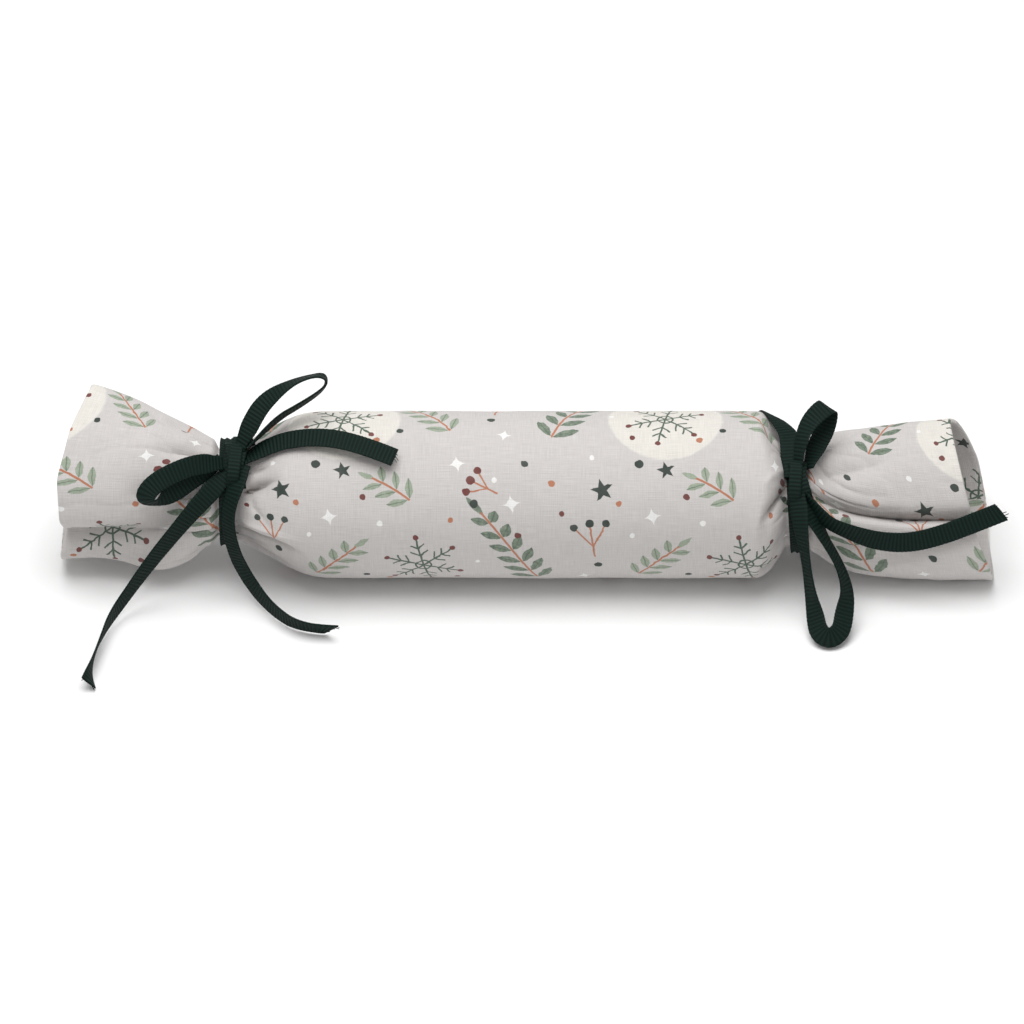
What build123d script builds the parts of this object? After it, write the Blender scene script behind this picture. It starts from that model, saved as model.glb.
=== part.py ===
from build123d import *
import os
from math import ceil, cos, hypot, radians, sin, sqrt, tan

# A fabric Christmas cracker, in millimetres. +X runs along it, +Y to its back, +Z up.
# The origin is on the table, under the middle of the barrel.

# Printed cotton, folded double
cloth_thickness = 0.9
barrel_diameter = 50.0
rest_flat_depth = 0.5
soft_gap = 0.3

# Card tube that keeps the barrel round
tube_wall = 1.5
tube_left_x = -60.0
tube_right_x = 68.0

# Necks: the gathered cloth under each ribbon, and how far its middle stands above the barrel's axis
left_neck_x = -89.4
left_neck_diameter = 29.4
left_neck_rise = 1.0
right_neck_x = 80.4
right_neck_diameter = 33.0
right_neck_rise = 0.5
gather_wall = 1.6
gather_web = 2.0
end_bend_limit = 15.0
shoulder_pleats = 14
pleat_depth = 1.4
pleat_start = 0.1
left_shoulder_power = 1.6
right_shoulder_power = 2.4
shoulder_steps = 4

# Flared ends: the rim's corners, as (Y, Z) from the barrel's axis, its lean, and how fast the neck opens
root_depth = 1.0
waist_distance = 6.6
left_rim_x = -135.0
left_rim_lean = -12.0
left_flare_power = 3.6
left_rim = [
    (20.0, -9.0), (25.0, 7.0), (23.0, 21.0), (16.0, 29.0), (0.5, 25.5), (-11.5, 16.0),
    (-16.0, 3.0), (-8.0, -5.0), (-13.0, -12.0), (-5.0, -20.0), (8.0, -18.5),
]
right_rim_x = 132.0
right_rim_lean = 17.0
right_flare_power = 2.4
right_rim = [
    (19.0, -18.5), (24.5, -6.5), (22.0, 8.0), (11.0, 20.5), (-6.0, 16.0), (-13.5, 6.5),
    (-4.0, -1.0), (-11.0, -5.0), (-17.0, -13.5), (-12.0, -23.5), (3.0, -24.0),
]
first_corner_angle = -45.0
fold_bulge = 0.07
fold_mitre_limit = 2.0
flare_steps = 7
flare_step_power = 1.5

# Grosgrain ribbon: band round each neck, knot, loops and loose ends
ribbon_width = 6.0
ribbon_thickness = 0.7
knot_length = 8.0
knot_width = 7.0
knot_height = 4.6
knot_round = 1.8
left_knot_offset = 2.0
left_knot_angle = 103.0
right_knot_offset = 1.2
right_knot_angle = 128.0
bend_share = 0.45
bend_step = 20.0
run_steps = 2

# Cracker snap: two card strips that overlap in the middle, and reach past each neck
snap_width = 10.0
snap_thickness = 0.5
snap_reach = 6.0
snap_overlap = 24.0
pad_length = 16.0
pad_width = 8.0
pad_thickness = 0.25
band_length = 20.0
band_wall = 0.3

# Filling: paper crown and motto slip, rolled up, and a spinning top
crown_length = 70.0
crown_x = -18.0
crown_core = 3.4
crown_turns = 2.5
roll_pitch = 1.2
roll_thickness = 0.5
motto_length = 55.0
motto_turns = 1.0
top_x = 45.0
top_diameter = 16.0
top_length = 26.0
top_disc_width = 9.0
top_stem_diameter = 3.2
top_tip_length = 5.0

# Places that follow from the sizes
barrel_radius = barrel_diameter / 2
axis_height = barrel_radius - rest_flat_depth
tube_outer_radius = barrel_radius - cloth_thickness - soft_gap
tube_inner_radius = tube_outer_radius - tube_wall
tube_floor = axis_height - tube_inner_radius
band_half = ribbon_width / 2
snap_z = axis_height + (left_neck_rise + right_neck_rise) / 2
snap_middle_x = (left_neck_x + right_neck_x) / 2
left_strip_y = soft_gap + snap_thickness / 2
right_strip_y = -(pad_thickness + snap_thickness / 2)

# Hand-chosen ribbon routes: each point of the middle line, and the way that the ribbon's width lies there
ribbon_routes = {
    "left_bow_upper_loop": [
        ((-85.4, -3.6, 45.4), (0.6, -0.5, 0.0)),
        ((-82.2, -0.8, 52.3), (0.6, -0.5, -0.2)),
        ((-78.0, 3.2, 57.9), (0.6, -0.6, -0.1)),
        ((-70.2, 6.3, 62.4), (0.3, -0.8, 0.4)),
        ((-63.0, 8.3, 63.9), (0.0, -0.8, 0.5)),
        ((-59.4, 9.2, 62.0), (0.0, -0.8, 0.4)),
        ((-60.2, 8.4, 58.4), (0.0, -0.8, 0.5)),
        ((-66.9, 5.3, 55.0), (-0.1, -0.8, 0.6)),
        ((-75.3, 0.9, 52.4), (-0.2, -0.8, 0.5)),
        ((-83.0, -5.0, 46.4), (-0.2, -0.8, 0.4)),
    ],
    "left_bow_front_loop": [
        ((-91.2, -4.6, 44.8), (0.0, 0.8, 0.5)),
        ((-96.6, -10.6, 46.0), (0.0, 0.5, 0.8)),
        ((-104.3, -14.6, 45.6), (-0.3, 0.5, 0.8)),
        ((-110.9, -17.6, 43.0), (-0.7, 0.4, 0.6)),
        ((-113.6, -19.4, 39.2), (-0.9, 0.3, 0.2)),
        ((-111.0, -19.0, 36.6), (-0.7, 0.3, -0.6)),
        ((-104.7, -15.2, 39.4), (0.2, -0.5, -0.8)),
        ((-97.6, -9.6, 42.6), (0.2, -0.6, -0.7)),
        ((-91.2, -2.8, 43.2), (0.0, -0.9, -0.3)),
    ],
    "left_bow_long_tail": [
        ((-88.4, -8.2, 40.6), (-0.8, 0.4, 0.2)),
        ((-95.6, -15.8, 36.4), (-0.8, 0.4, 0.1)),
        ((-103.6, -20.6, 28.4), (-0.8, 0.3, 0.3)),
        ((-112.0, -21.8, 16.4), (-0.8, 0.2, 0.5)),
        ((-119.6, -25.6, 6.6), (-0.7, 0.4, 0.5)),
        ((-125.2, -34.6, 3.5), (-0.3, 0.2, 0.9)),
        ((-128.2, -45.0, 3.4), (0.2, 0.0, 0.9)),
        ((-130.0, -54.6, 2.4), (0.8, 0.0, 0.5)),
        ((-131.0, -62.6, 0.7), (1.0, 0.0, 0.0)),
    ],
    "left_bow_curved_tail": [
        ((-83.8, -7.6, 42.4), (1.0, 0.0, 0.0)),
        ((-86.8, -14.4, 39.2), (0.9, -0.2, -0.2)),
        ((-88.8, -18.2, 30.6), (0.8, -0.4, -0.1)),
        ((-86.2, -18.6, 19.8), (0.6, -0.7, 0.1)),
        ((-80.2, -19.8, 9.2), (0.5, -0.5, 0.6)),
        ((-70.6, -26.6, 4.0), (0.2, -0.1, 0.9)),
        ((-58.2, -35.2, 3.4), (0.0, 0.2, 0.9)),
    ],
    "left_bow_top_tail": [
        ((-83.4, -3.4, 43.4), (0.0, 0.9, 0.2)),
        ((-75.3, -3.8, 47.6), (0.0, 0.9, 0.3)),
        ((-63.3, -6.0, 52.2), (0.0, 0.9, 0.4)),
        ((-50.4, -9.2, 52.4), (0.1, 0.9, 0.4)),
        ((-39.1, -13.0, 49.6), (0.2, 0.9, 0.4)),
    ],
    "right_bow_upper_loop": [
        ((80.8, -9.6, 43.4), (0.9, -0.2, 0.2)),
        ((80.6, -5.6, 49.0), (0.9, -0.3, 0.2)),
        ((82.4, -0.6, 53.0), (0.7, -0.6, 0.4)),
        ((86.0, 3.8, 55.8), (0.4, -0.7, 0.6)),
        ((89.8, 4.4, 54.0), (0.2, -0.7, 0.7)),
        ((90.6, 1.4, 50.4), (0.2, -0.7, 0.7)),
        ((88.4, -3.8, 46.8), (0.4, -0.6, 0.6)),
        ((84.8, -9.2, 42.6), (0.6, -0.6, 0.4)),
    ],
    "right_bow_lower_loop": [
        ((80.8, -15.6, 39.4), (1.0, 0.0, 0.0)),
        ((81.4, -22.0, 31.6), (0.8, -0.5, 0.2)),
        ((82.8, -24.6, 21.0), (0.6, -0.7, 0.3)),
        ((85.4, -27.6, 9.6), (0.5, -0.8, 0.3)),
        ((88.4, -34.6, 3.0), (0.3, -0.9, 0.2)),
        ((92.4, -40.6, 2.0), (0.0, -0.9, 0.2)),
        ((96.2, -35.6, 2.9), (-0.3, -0.9, 0.2)),
        ((97.4, -28.0, 7.4), (-0.5, -0.8, 0.3)),
        ((94.0, -24.8, 18.4), (-0.6, -0.7, 0.3)),
        ((88.6, -22.4, 29.4), (-0.8, -0.5, 0.2)),
        ((82.6, -14.6, 37.6), (-0.9, -0.2, 0.0)),
    ],
    "right_bow_long_tail": [
        ((85.6, -13.0, 41.0), (0.2, 0.7, 0.6)),
        ((89.6, -19.4, 35.2), (0.6, 0.4, 0.6)),
        ((96.4, -22.8, 28.2), (0.5, 0.5, 0.7)),
        ((105.2, -22.4, 24.6), (0.2, 0.6, 0.8)),
        ((114.6, -21.2, 23.6), (0.0, 0.6, 0.8)),
        ((124.4, -19.6, 25.6), (-0.2, 0.6, 0.8)),
        ((133.6, -17.8, 28.6), (-0.3, 0.6, 0.8)),
        ((141.4, -15.2, 30.4), (-0.3, 0.6, 0.8)),
    ],
    "right_bow_back_tail": [
        ((77.6, -11.0, 42.4), (0.2, -0.7, 0.7)),
        ((76.6, -5.6, 48.6), (0.6, -0.5, 0.5)),
        ((74.6, 4.0, 52.0), (0.9, -0.1, 0.2)),
        ((72.4, 15.6, 49.4), (0.9, 0.1, 0.1)),
        ((70.2, 25.2, 41.0), (0.9, 0.1, 0.0)),
        ((67.4, 30.2, 29.8), (0.9, 0.1, 0.1)),
        ((63.6, 31.6, 18.0), (0.9, 0.1, 0.2)),
        ((59.6, 33.0, 7.8), (0.9, 0.1, 0.2)),
        ((56.6, 38.4, 1.8), (0.9, 0.2, 0.1)),
    ],
}


def cross_plane(x, z, lean=0.0):
    """Plane across the cracker, with Y to the right and Z up. A positive lean tips its top towards -X."""
    return Plane(
        origin=(x, 0, z), x_dir=(0, 1, 0), z_dir=(cos(radians(lean)), 0, sin(radians(lean)))
    )


def on_circle(radius, angle):
    return radius * cos(radians(angle)), radius * sin(radians(angle))


def pleated_ring(radius, depth):
    """Outline of gathered cloth: one arc to each pleat, drawn in by the depth between them."""
    turn = 360 / shoulder_pleats
    for i in range(shoulder_pleats):
        start = on_circle(radius - depth, i * turn)
        middle = on_circle(radius, (i + 0.5) * turn)
        end = on_circle(radius - depth, (i + 1) * turn)
        ThreePointArc(start, middle, end)


def folded_outline(corners, inset):
    """Outline of a flared end: one arc from corner to corner, moved inwards by the inset."""
    count = len(corners)
    normals = []
    for i in range(count):
        across = corners[(i + 1) % count][0] - corners[i][0]
        rise = corners[(i + 1) % count][1] - corners[i][1]
        chord = hypot(across, rise)
        normals.append((rise / chord, -across / chord, chord))
    moved = []
    for i in range(count):
        before = normals[i - 1]
        after = normals[i]
        sum_y = before[0] + after[0]
        sum_z = before[1] + after[1]
        size = hypot(sum_y, sum_z)
        reach = inset * min(fold_mitre_limit, 2 / size)
        moved.append((corners[i][0] - reach * sum_y / size, corners[i][1] - reach * sum_z / size))
    for i in range(count):
        start = corners[i]
        end = corners[(i + 1) % count]
        out_y, out_z, chord = normals[i]
        push = fold_bulge * chord - inset
        middle = ((start[0] + end[0]) / 2 + push * out_y, (start[1] + end[1]) / 2 + push * out_z)
        ThreePointArc(moved[i], middle, moved[(i + 1) % count])


def shoulder_station(tube_x, neck_x, neck_radius, rise, power, share):
    """Plane and radius of a shoulder, a share of the way from the tube's end to the ribbon's edge."""
    side = 1 if neck_x > tube_x else -1
    edge_x = neck_x - side * band_half
    plane = cross_plane(tube_x + share * (edge_x - tube_x), axis_height + rise * share)
    return plane, barrel_radius - (barrel_radius - neck_radius) * share**power


def bore_depth(bore_radius):
    """How far a neck's bore reaches towards the barrel, so that the end inside it can swing."""
    return bore_radius * sin(radians(end_bend_limit)) + root_depth + soft_gap


def hollow_share(tube_x, neck_x, bore_radius):
    """How far a shoulder's hollow goes, short of the web that closes the gathers."""
    length = abs(neck_x - tube_x) - band_half
    return 1 - (bore_depth(bore_radius) + gather_web - band_half) / length


def pleated_sections(end, last_share, inset):
    """Draws the sections of one shoulder, from the tube's end towards the neck."""
    for i in range(shoulder_steps + 1):
        share = last_share * i / shoulder_steps
        plane, radius = shoulder_station(*end, share)
        with BuildSketch(plane) as section:
            with BuildLine():
                pleated_ring(radius - inset, pleat_depth * max(share, pleat_start))
            make_face()
        yield section.sketch


def ribbon_path(points):
    """Straight runs joined by arcs as large as they allow, where its sections stand, and its least radius."""
    runs = [(Vector(*b) - Vector(*a)).length for a, b in zip(points, points[1:])]
    radii = []
    cuts = [0.0]
    turns = []
    for i in range(len(runs) - 1):
        first = Vector(*points[i + 1]) - Vector(*points[i])
        second = Vector(*points[i + 2]) - Vector(*points[i + 1])
        turns.append(first.get_angle(second))
        cuts.append(bend_share * min(runs[i], runs[i + 1]))
        radii.append(cuts[-1] / tan(radians(turns[-1]) / 2))
    cuts.append(0.0)
    places = [0.0]
    for i in range(len(runs)):
        straight = runs[i] - cuts[i] - cuts[i + 1]
        start = places[-1]
        places += [start + straight * (k + 1) / run_steps for k in range(run_steps)]
        if i < len(radii):
            count = ceil(turns[i] / bend_step)
            start = places[-1]
            places += [start + radii[i] * radians(turns[i]) * (k + 1) / count for k in range(count)]
    return FilletPolyline(*points, radius=radii), places, min(radii)


def ribbon_planes(route):
    """Planes across a ribbon along its path, with x along the ribbon's width."""
    points = [point for point, width in route]
    with BuildLine():
        path, places, least_radius = ribbon_path(points)
    runs = [(Vector(*b) - Vector(*a)).length for a, b in zip(points, points[1:])]
    planes = []
    for place in places:
        left = place / places[-1] * sum(runs)
        run = 0
        while run < len(runs) - 1 and left > runs[run]:
            left -= runs[run]
            run += 1
        mix = left / runs[run]
        width = Vector(*route[run][1]) * (1 - mix) + Vector(*route[run + 1][1]) * mix
        at = min(place, path.length)
        tangent = path.tangent_at(at, position_mode=PositionMode.LENGTH)
        origin = path.position_at(at, position_mode=PositionMode.LENGTH)
        planes.append(Plane(origin=origin, x_dir=width - tangent * width.dot(tangent), z_dir=tangent))
    return planes, path.length, least_radius


def spiral(core, turns):
    """Closed outline of a rolled sheet: half circles whose radius grows by half the pitch at each."""
    halves = round(2 * turns)
    centres = [(i % 2) * roll_pitch / 2 for i in range(halves)]
    inner = [core + i * roll_pitch / 2 for i in range(halves)]
    for i in range(halves):
        way = 1 if i % 2 == 0 else -1
        for radius in (inner[i], inner[i] + roll_thickness):
            start = (centres[i] + way * radius, 0)
            middle = (centres[i], way * radius)
            end = (centres[i] - way * radius, 0)
            ThreePointArc(start, middle, end)
    Line((core, 0), (core + roll_thickness, 0))
    way = 1 if halves % 2 == 0 else -1
    last = centres[-1] + way * inner[-1]
    Line((last, 0), (last + way * roll_thickness, 0))


os.makedirs("parts", exist_ok=True)

# Barrel: sleeve over the tube, gathered shoulders, and the cloth under both ribbons
left_end = (tube_left_x, left_neck_x, left_neck_diameter / 2, left_neck_rise, left_shoulder_power)
right_end = (tube_right_x, right_neck_x, right_neck_diameter / 2, right_neck_rise, right_shoulder_power)
left_bore_radius = left_neck_diameter / 2 - gather_wall
right_bore_radius = right_neck_diameter / 2 - gather_wall
with BuildPart() as wrap_barrel:
    sections = list(pleated_sections(left_end, 1.0, 0.0))[::-1] + list(pleated_sections(right_end, 1.0, 0.0))
    loft(sections, ruled=True)
    for neck_x, neck_radius, rise in (left_end[1:4], right_end[1:4]):
        with BuildSketch(cross_plane(neck_x, axis_height + rise)):
            with BuildLine():
                pleated_ring(neck_radius, pleat_depth)
            make_face()
        extrude(amount=band_half, both=True)
    left_share = hollow_share(tube_left_x, left_neck_x, left_bore_radius)
    right_share = hollow_share(tube_right_x, right_neck_x, right_bore_radius)
    hollow = list(pleated_sections(left_end, left_share, cloth_thickness))[::-1]
    hollow += list(pleated_sections(right_end, right_share, cloth_thickness))
    loft(hollow, ruled=True, mode=Mode.SUBTRACT)
    for neck_x, bore_radius, rise, side in (
        (left_neck_x, left_bore_radius, left_neck_rise, -1),
        (right_neck_x, right_bore_radius, right_neck_rise, 1),
    ):
        depth = bore_depth(bore_radius)
        with BuildSketch(cross_plane(neck_x - side * depth, axis_height + rise)):
            Circle(bore_radius)
        extrude(amount=side * (depth + band_half), mode=Mode.SUBTRACT)
    for x, y in ((left_neck_x, left_strip_y), (right_neck_x, right_strip_y)):
        with BuildSketch(cross_plane(x, snap_z)):
            with Locations((y, 0)):
                Rectangle(snap_thickness + 2 * soft_gap, snap_width + 2 * soft_gap)
        extrude(amount=barrel_radius, both=True, mode=Mode.SUBTRACT)
    with BuildSketch(Plane.XY):
        Rectangle(2 * (right_neck_x - left_neck_x), 2 * barrel_diameter)
    extrude(amount=-barrel_diameter, mode=Mode.SUBTRACT)
wrap_barrel.part.label = "wrap_barrel"
export_step(wrap_barrel.part, "parts/wrap_barrel.step")

# Flared ends: each starts as a ball inside its neck, so that it can swing, and opens into its folds
left_neck = (left_neck_x, left_bore_radius, left_neck_rise)
right_neck = (right_neck_x, right_bore_radius, right_neck_rise)
flared_ends = {
    "wrap_left_end": (*left_neck, left_rim, left_rim_x, left_rim_lean, left_flare_power),
    "wrap_right_end": (*right_neck, right_rim, right_rim_x, right_rim_lean, right_flare_power),
}
for name, (neck_x, bore_radius, rise, rim, rim_x, rim_lean, power) in flared_ends.items():
    side = 1 if rim_x > neck_x else -1
    ball_radius = bore_radius - soft_gap
    reach = abs(rim_x - neck_x)
    stations = [(-root_depth, 0.0), (waist_distance / 2, 0.0)]
    for i in range(flare_steps + 1):
        way = (i / flare_steps) ** flare_step_power
        stations.append((waist_distance + way * (reach - waist_distance), 1 - (1 - way) ** power))
    with BuildPart() as flared_end:
        for inset, mode in ((0.0, Mode.ADD), (cloth_thickness, Mode.SUBTRACT)):
            for distance, share in stations:
                ring_radius = sqrt(ball_radius**2 - min(abs(distance), waist_distance) ** 2)
                corners = []
                for i, (rim_y, rim_z) in enumerate(rim):
                    ring_y, ring_z = on_circle(ring_radius, first_corner_angle + i * 360 / len(rim))
                    corners.append((
                        ring_y + share * (rim_y - ring_y),
                        ring_z + rise + share * (rim_z - ring_z - rise),
                    ))
                with BuildSketch(cross_plane(neck_x + side * distance, axis_height, rim_lean * share)):
                    with BuildLine():
                        folded_outline(corners, inset)
                    make_face()
            loft(ruled=True, mode=mode)
        with BuildSketch(Plane.XY):
            with Locations(((neck_x + rim_x) / 2, 0)):
                Rectangle(2 * reach, 2 * barrel_diameter)
        extrude(amount=-barrel_diameter, mode=Mode.SUBTRACT)
    flared_end.part.label = name
    export_step(flared_end.part, f"parts/{name}.step")

# Card tube
with BuildPart() as card_tube:
    with BuildSketch(cross_plane(tube_left_x, axis_height)):
        Circle(tube_outer_radius)
        Circle(tube_inner_radius, mode=Mode.SUBTRACT)
    extrude(amount=tube_right_x - tube_left_x)
card_tube.part.label = "card_tube"
export_step(card_tube.part, "parts/card_tube.step")

# Ribbon bands and knots
ribbon_bows = {
    "left": (left_neck_x, left_neck_diameter / 2, left_neck_rise, left_knot_offset, left_knot_angle),
    "right": (right_neck_x, right_neck_diameter / 2, right_neck_rise, right_knot_offset, right_knot_angle),
}
for side_name, (neck_x, neck_radius, rise, knot_offset, knot_angle) in ribbon_bows.items():
    band_radius = neck_radius + soft_gap
    with BuildPart() as ribbon_band:
        with BuildSketch(cross_plane(neck_x, axis_height + rise)):
            Circle(band_radius + ribbon_thickness)
            Circle(band_radius, mode=Mode.SUBTRACT)
        extrude(amount=band_half, both=True)
    ribbon_band.part.label = f"{side_name}_ribbon_band"
    export_step(ribbon_band.part, f"parts/{side_name}_ribbon_band.step")

    out_y, out_z = on_circle(1.0, knot_angle)
    seat = band_radius + ribbon_thickness + soft_gap + knot_height / 2
    knot_place = (neck_x + knot_offset, seat * out_y, axis_height + rise + seat * out_z)
    knot_plane = Plane(origin=knot_place, x_dir=(1, 0, 0), z_dir=(0, out_y, out_z))
    with BuildPart(knot_plane) as ribbon_knot:
        Box(knot_length, knot_width, knot_height)
        fillet(ribbon_knot.edges(), radius=knot_round)
    ribbon_knot.part.label = f"{side_name}_ribbon_knot"
    export_step(ribbon_knot.part, f"parts/{side_name}_ribbon_knot.step")

# Ribbon loops and loose ends
for name, route in ribbon_routes.items():
    planes, length, least_radius = ribbon_planes(route)
    with BuildPart() as strand:
        for plane in planes:
            with BuildSketch(plane):
                Rectangle(ribbon_width, ribbon_thickness)
        loft(ruled=True)
    strand.part.label = name
    export_step(strand.part, f"parts/{name}.step")
    section = ribbon_width * ribbon_thickness
    print(f"{name}: length {length:.1f}, volume over section {strand.part.volume / section:.1f}")
    print(f"    least radius {least_radius:.1f}")

# Cracker snap: the left strip carries the friction pad, the right strip the paper band
with BuildPart() as snap_strip_left:
    with BuildSketch(cross_plane(left_neck_x - snap_reach, snap_z)):
        with Locations((left_strip_y, 0)):
            Rectangle(snap_thickness, snap_width)
    extrude(amount=snap_middle_x + snap_overlap / 2 - (left_neck_x - snap_reach))
snap_strip_left.part.label = "snap_strip_left"
export_step(snap_strip_left.part, "parts/snap_strip_left.step")

with BuildPart() as snap_strip_right:
    with BuildSketch(cross_plane(snap_middle_x - snap_overlap / 2, snap_z)):
        with Locations((right_strip_y, 0)):
            Rectangle(snap_thickness, snap_width)
    extrude(amount=right_neck_x + snap_reach - (snap_middle_x - snap_overlap / 2))
snap_strip_right.part.label = "snap_strip_right"
export_step(snap_strip_right.part, "parts/snap_strip_right.step")

with BuildPart() as snap_friction_pad:
    with BuildSketch(cross_plane(snap_middle_x - pad_length / 2, snap_z)):
        with Locations((left_strip_y - snap_thickness / 2 - pad_thickness / 2, 0)):
            Rectangle(pad_thickness, pad_width)
    extrude(amount=pad_length)
snap_friction_pad.part.label = "snap_friction_pad"
export_step(snap_friction_pad.part, "parts/snap_friction_pad.step")

band_inner_low = right_strip_y - snap_thickness / 2
band_inner_high = left_strip_y + snap_thickness / 2 + soft_gap
band_depth = band_inner_high - band_inner_low
band_tall = snap_width + 2 * soft_gap
with BuildPart() as snap_paper_band:
    with BuildSketch(cross_plane(snap_middle_x - band_length / 2, snap_z)):
        with Locations(((band_inner_low + band_inner_high) / 2, 0)):
            Rectangle(band_depth + 2 * band_wall, band_tall + 2 * band_wall)
            Rectangle(band_depth, band_tall, mode=Mode.SUBTRACT)
    extrude(amount=band_length)
snap_paper_band.part.label = "snap_paper_band"
export_step(snap_paper_band.part, "parts/snap_paper_band.step")

# Filling, lying on the floor of the tube
crown_drop = crown_core + (crown_turns - 1) * roll_pitch + roll_thickness
crown_z = tube_floor + soft_gap + crown_drop
with BuildPart() as paper_crown:
    with BuildSketch(cross_plane(crown_x - crown_length / 2, crown_z)):
        with BuildLine():
            spiral(crown_core, crown_turns)
        make_face()
    extrude(amount=crown_length)
paper_crown.part.label = "paper_crown"
export_step(paper_crown.part, "parts/paper_crown.step")

motto_core = crown_core - roll_pitch / 2 - roll_thickness - soft_gap
with BuildPart() as motto_slip:
    with BuildSketch(cross_plane(crown_x - motto_length / 2, crown_z)):
        with BuildLine():
            spiral(motto_core, motto_turns)
        make_face()
    extrude(amount=motto_length)
motto_slip.part.label = "motto_slip"
export_step(motto_slip.part, "parts/motto_slip.step")

top_tip = (top_x - top_length / 2, 0, tube_floor + soft_gap + top_diameter / 2)
with BuildPart() as spinning_top:
    with BuildSketch(Plane(origin=top_tip, x_dir=(1, 0, 0), z_dir=(0, -1, 0))):
        with BuildLine():
            Polyline(
                (0, 0),
                (top_tip_length, top_diameter / 2),
                (top_tip_length + top_disc_width, top_diameter / 2),
                (top_tip_length + top_disc_width, top_stem_diameter / 2),
                (top_length, top_stem_diameter / 2),
                (top_length, 0),
                close=True,
            )
        make_face()
    revolve(axis=Axis(top_tip, (1, 0, 0)))
spinning_top.part.label = "spinning_top"
export_step(spinning_top.part, "parts/spinning_top.step")
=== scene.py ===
import math

import bmesh
import bpy
import numpy as np
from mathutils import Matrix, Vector, noise


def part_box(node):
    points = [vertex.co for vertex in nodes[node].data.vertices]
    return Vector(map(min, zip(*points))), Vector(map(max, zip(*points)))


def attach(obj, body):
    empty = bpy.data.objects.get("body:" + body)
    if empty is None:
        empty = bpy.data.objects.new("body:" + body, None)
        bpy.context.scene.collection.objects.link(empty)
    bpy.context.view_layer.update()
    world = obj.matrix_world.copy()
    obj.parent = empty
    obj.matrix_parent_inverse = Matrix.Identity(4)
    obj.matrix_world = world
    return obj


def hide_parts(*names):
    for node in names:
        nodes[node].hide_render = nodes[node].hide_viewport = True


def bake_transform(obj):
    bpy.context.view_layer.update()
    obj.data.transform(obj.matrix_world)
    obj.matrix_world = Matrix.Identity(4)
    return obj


# A fabric Christmas cracker, in metres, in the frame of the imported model.
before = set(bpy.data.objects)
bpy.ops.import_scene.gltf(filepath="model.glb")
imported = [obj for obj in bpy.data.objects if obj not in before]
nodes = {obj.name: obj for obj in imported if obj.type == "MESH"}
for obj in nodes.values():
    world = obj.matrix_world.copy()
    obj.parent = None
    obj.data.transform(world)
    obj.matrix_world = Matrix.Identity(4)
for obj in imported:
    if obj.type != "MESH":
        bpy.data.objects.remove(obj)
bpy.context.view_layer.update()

# Cloth: a cotton tube, folded double, over a card tube
cloth_thickness = 0.0009
barrel_radius = 0.025
axis_height = 0.0245
cloth_round = 2 * math.pi * barrel_radius
tube_ends = {"left": -0.060, "right": 0.068}
neck_x = {"left": -0.0894, "right": 0.0804}
neck_radius = {"left": 0.0147, "right": 0.0165}
neck_rise = {"left": 0.0010, "right": 0.0005}
shoulder_power = {"left": 1.7, "right": 2.4}
gather_wall = 0.0016
table_gap = 0.00002
bend_limit = math.radians(15)
sides = {"left": -1, "right": 1}

# Ribbon: 6 mm grosgrain
ribbon_width = 0.0060
ribbon_thickness = 0.0007
rib_pitch = 0.00115
rib_height = 0.00013
band_half = ribbon_width / 2

# Camera: the photograph's angle, through a long lens
camera_elevation = math.radians(40)
camera_lens = 300.0
camera_sensor = 36.0
view_width = 0.3066
view_target = Vector((-0.0043, -0.0034, 0.0205))

camera_data = bpy.data.cameras.new("camera")
camera_data.lens = camera_lens
camera_data.sensor_width = camera_sensor
camera = bpy.data.objects.new("camera", camera_data)
bpy.context.scene.collection.objects.link(camera)
camera_back = Vector((0, -math.cos(camera_elevation), math.sin(camera_elevation)))
camera.location = view_target + camera_back * (view_width * camera_lens / camera_sensor)
camera.rotation_mode = "QUATERNION"
camera.rotation_quaternion = (-camera_back).to_track_quat("-Z", "Y")
bpy.context.scene.camera = camera


# Mesh helpers
def new_object(name, data):
    made = bpy.data.objects.new(name, data)
    bpy.context.scene.collection.objects.link(made)
    return made


def ring_mesh(name, rings, maps, closed):
    """Quads between closed rings of points. A closed set joins its last ring to its first, an open one is
    capped. maps holds one more column than the rings, because the print doesn't meet itself there."""
    rows, columns = rings.shape[:2]
    faces = []
    corners = []
    for i in range(rows if closed else rows - 1):
        below = (i + 1) % rows
        for j in range(columns):
            right = (j + 1) % columns
            faces.append((i * columns + j, i * columns + right, below * columns + right, below * columns + j))
            corners += [maps[i, j], maps[i, j + 1], maps[below, j + 1], maps[below, j]]
    if not closed:
        for row, order in ((0, range(columns - 1, -1, -1)), (rows - 1, range(columns))):
            faces.append(tuple(row * columns + j for j in order))
            corners += [maps[row, j] for j in order]
    mesh = bpy.data.meshes.new(name)
    mesh.from_pydata(rings.reshape(-1, 3).tolist(), [], faces)
    layer = mesh.uv_layers.new(name="print")
    layer.uv.foreach_set("vector", np.array(corners, np.float32).ravel())
    mesh.polygons.foreach_set("use_smooth", [True] * len(faces))
    solid = bmesh.new()
    solid.from_mesh(mesh)
    bmesh.ops.recalc_face_normals(solid, faces=solid.faces)
    solid.to_mesh(mesh)
    solid.free()
    return new_object(name, mesh)


def join(name, pieces):
    """One object from several."""
    bpy.ops.object.select_all(action="DESELECT")
    for piece in pieces:
        piece.select_set(True)
    bpy.context.view_layer.objects.active = pieces[0]
    bpy.ops.object.join()
    pieces[0].name = name
    return pieces[0]


def smooth(t):
    t = np.clip(t, 0, 1)
    return t * t * (3 - 2 * t)


def ramp(value, start, full):
    """0 up to the start, 1 from the full place on, and smooth between them."""
    return smooth((value - start) / (full - start))


def unit(vectors):
    return vectors / np.linalg.norm(vectors, axis=-1, keepdims=True)


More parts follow.
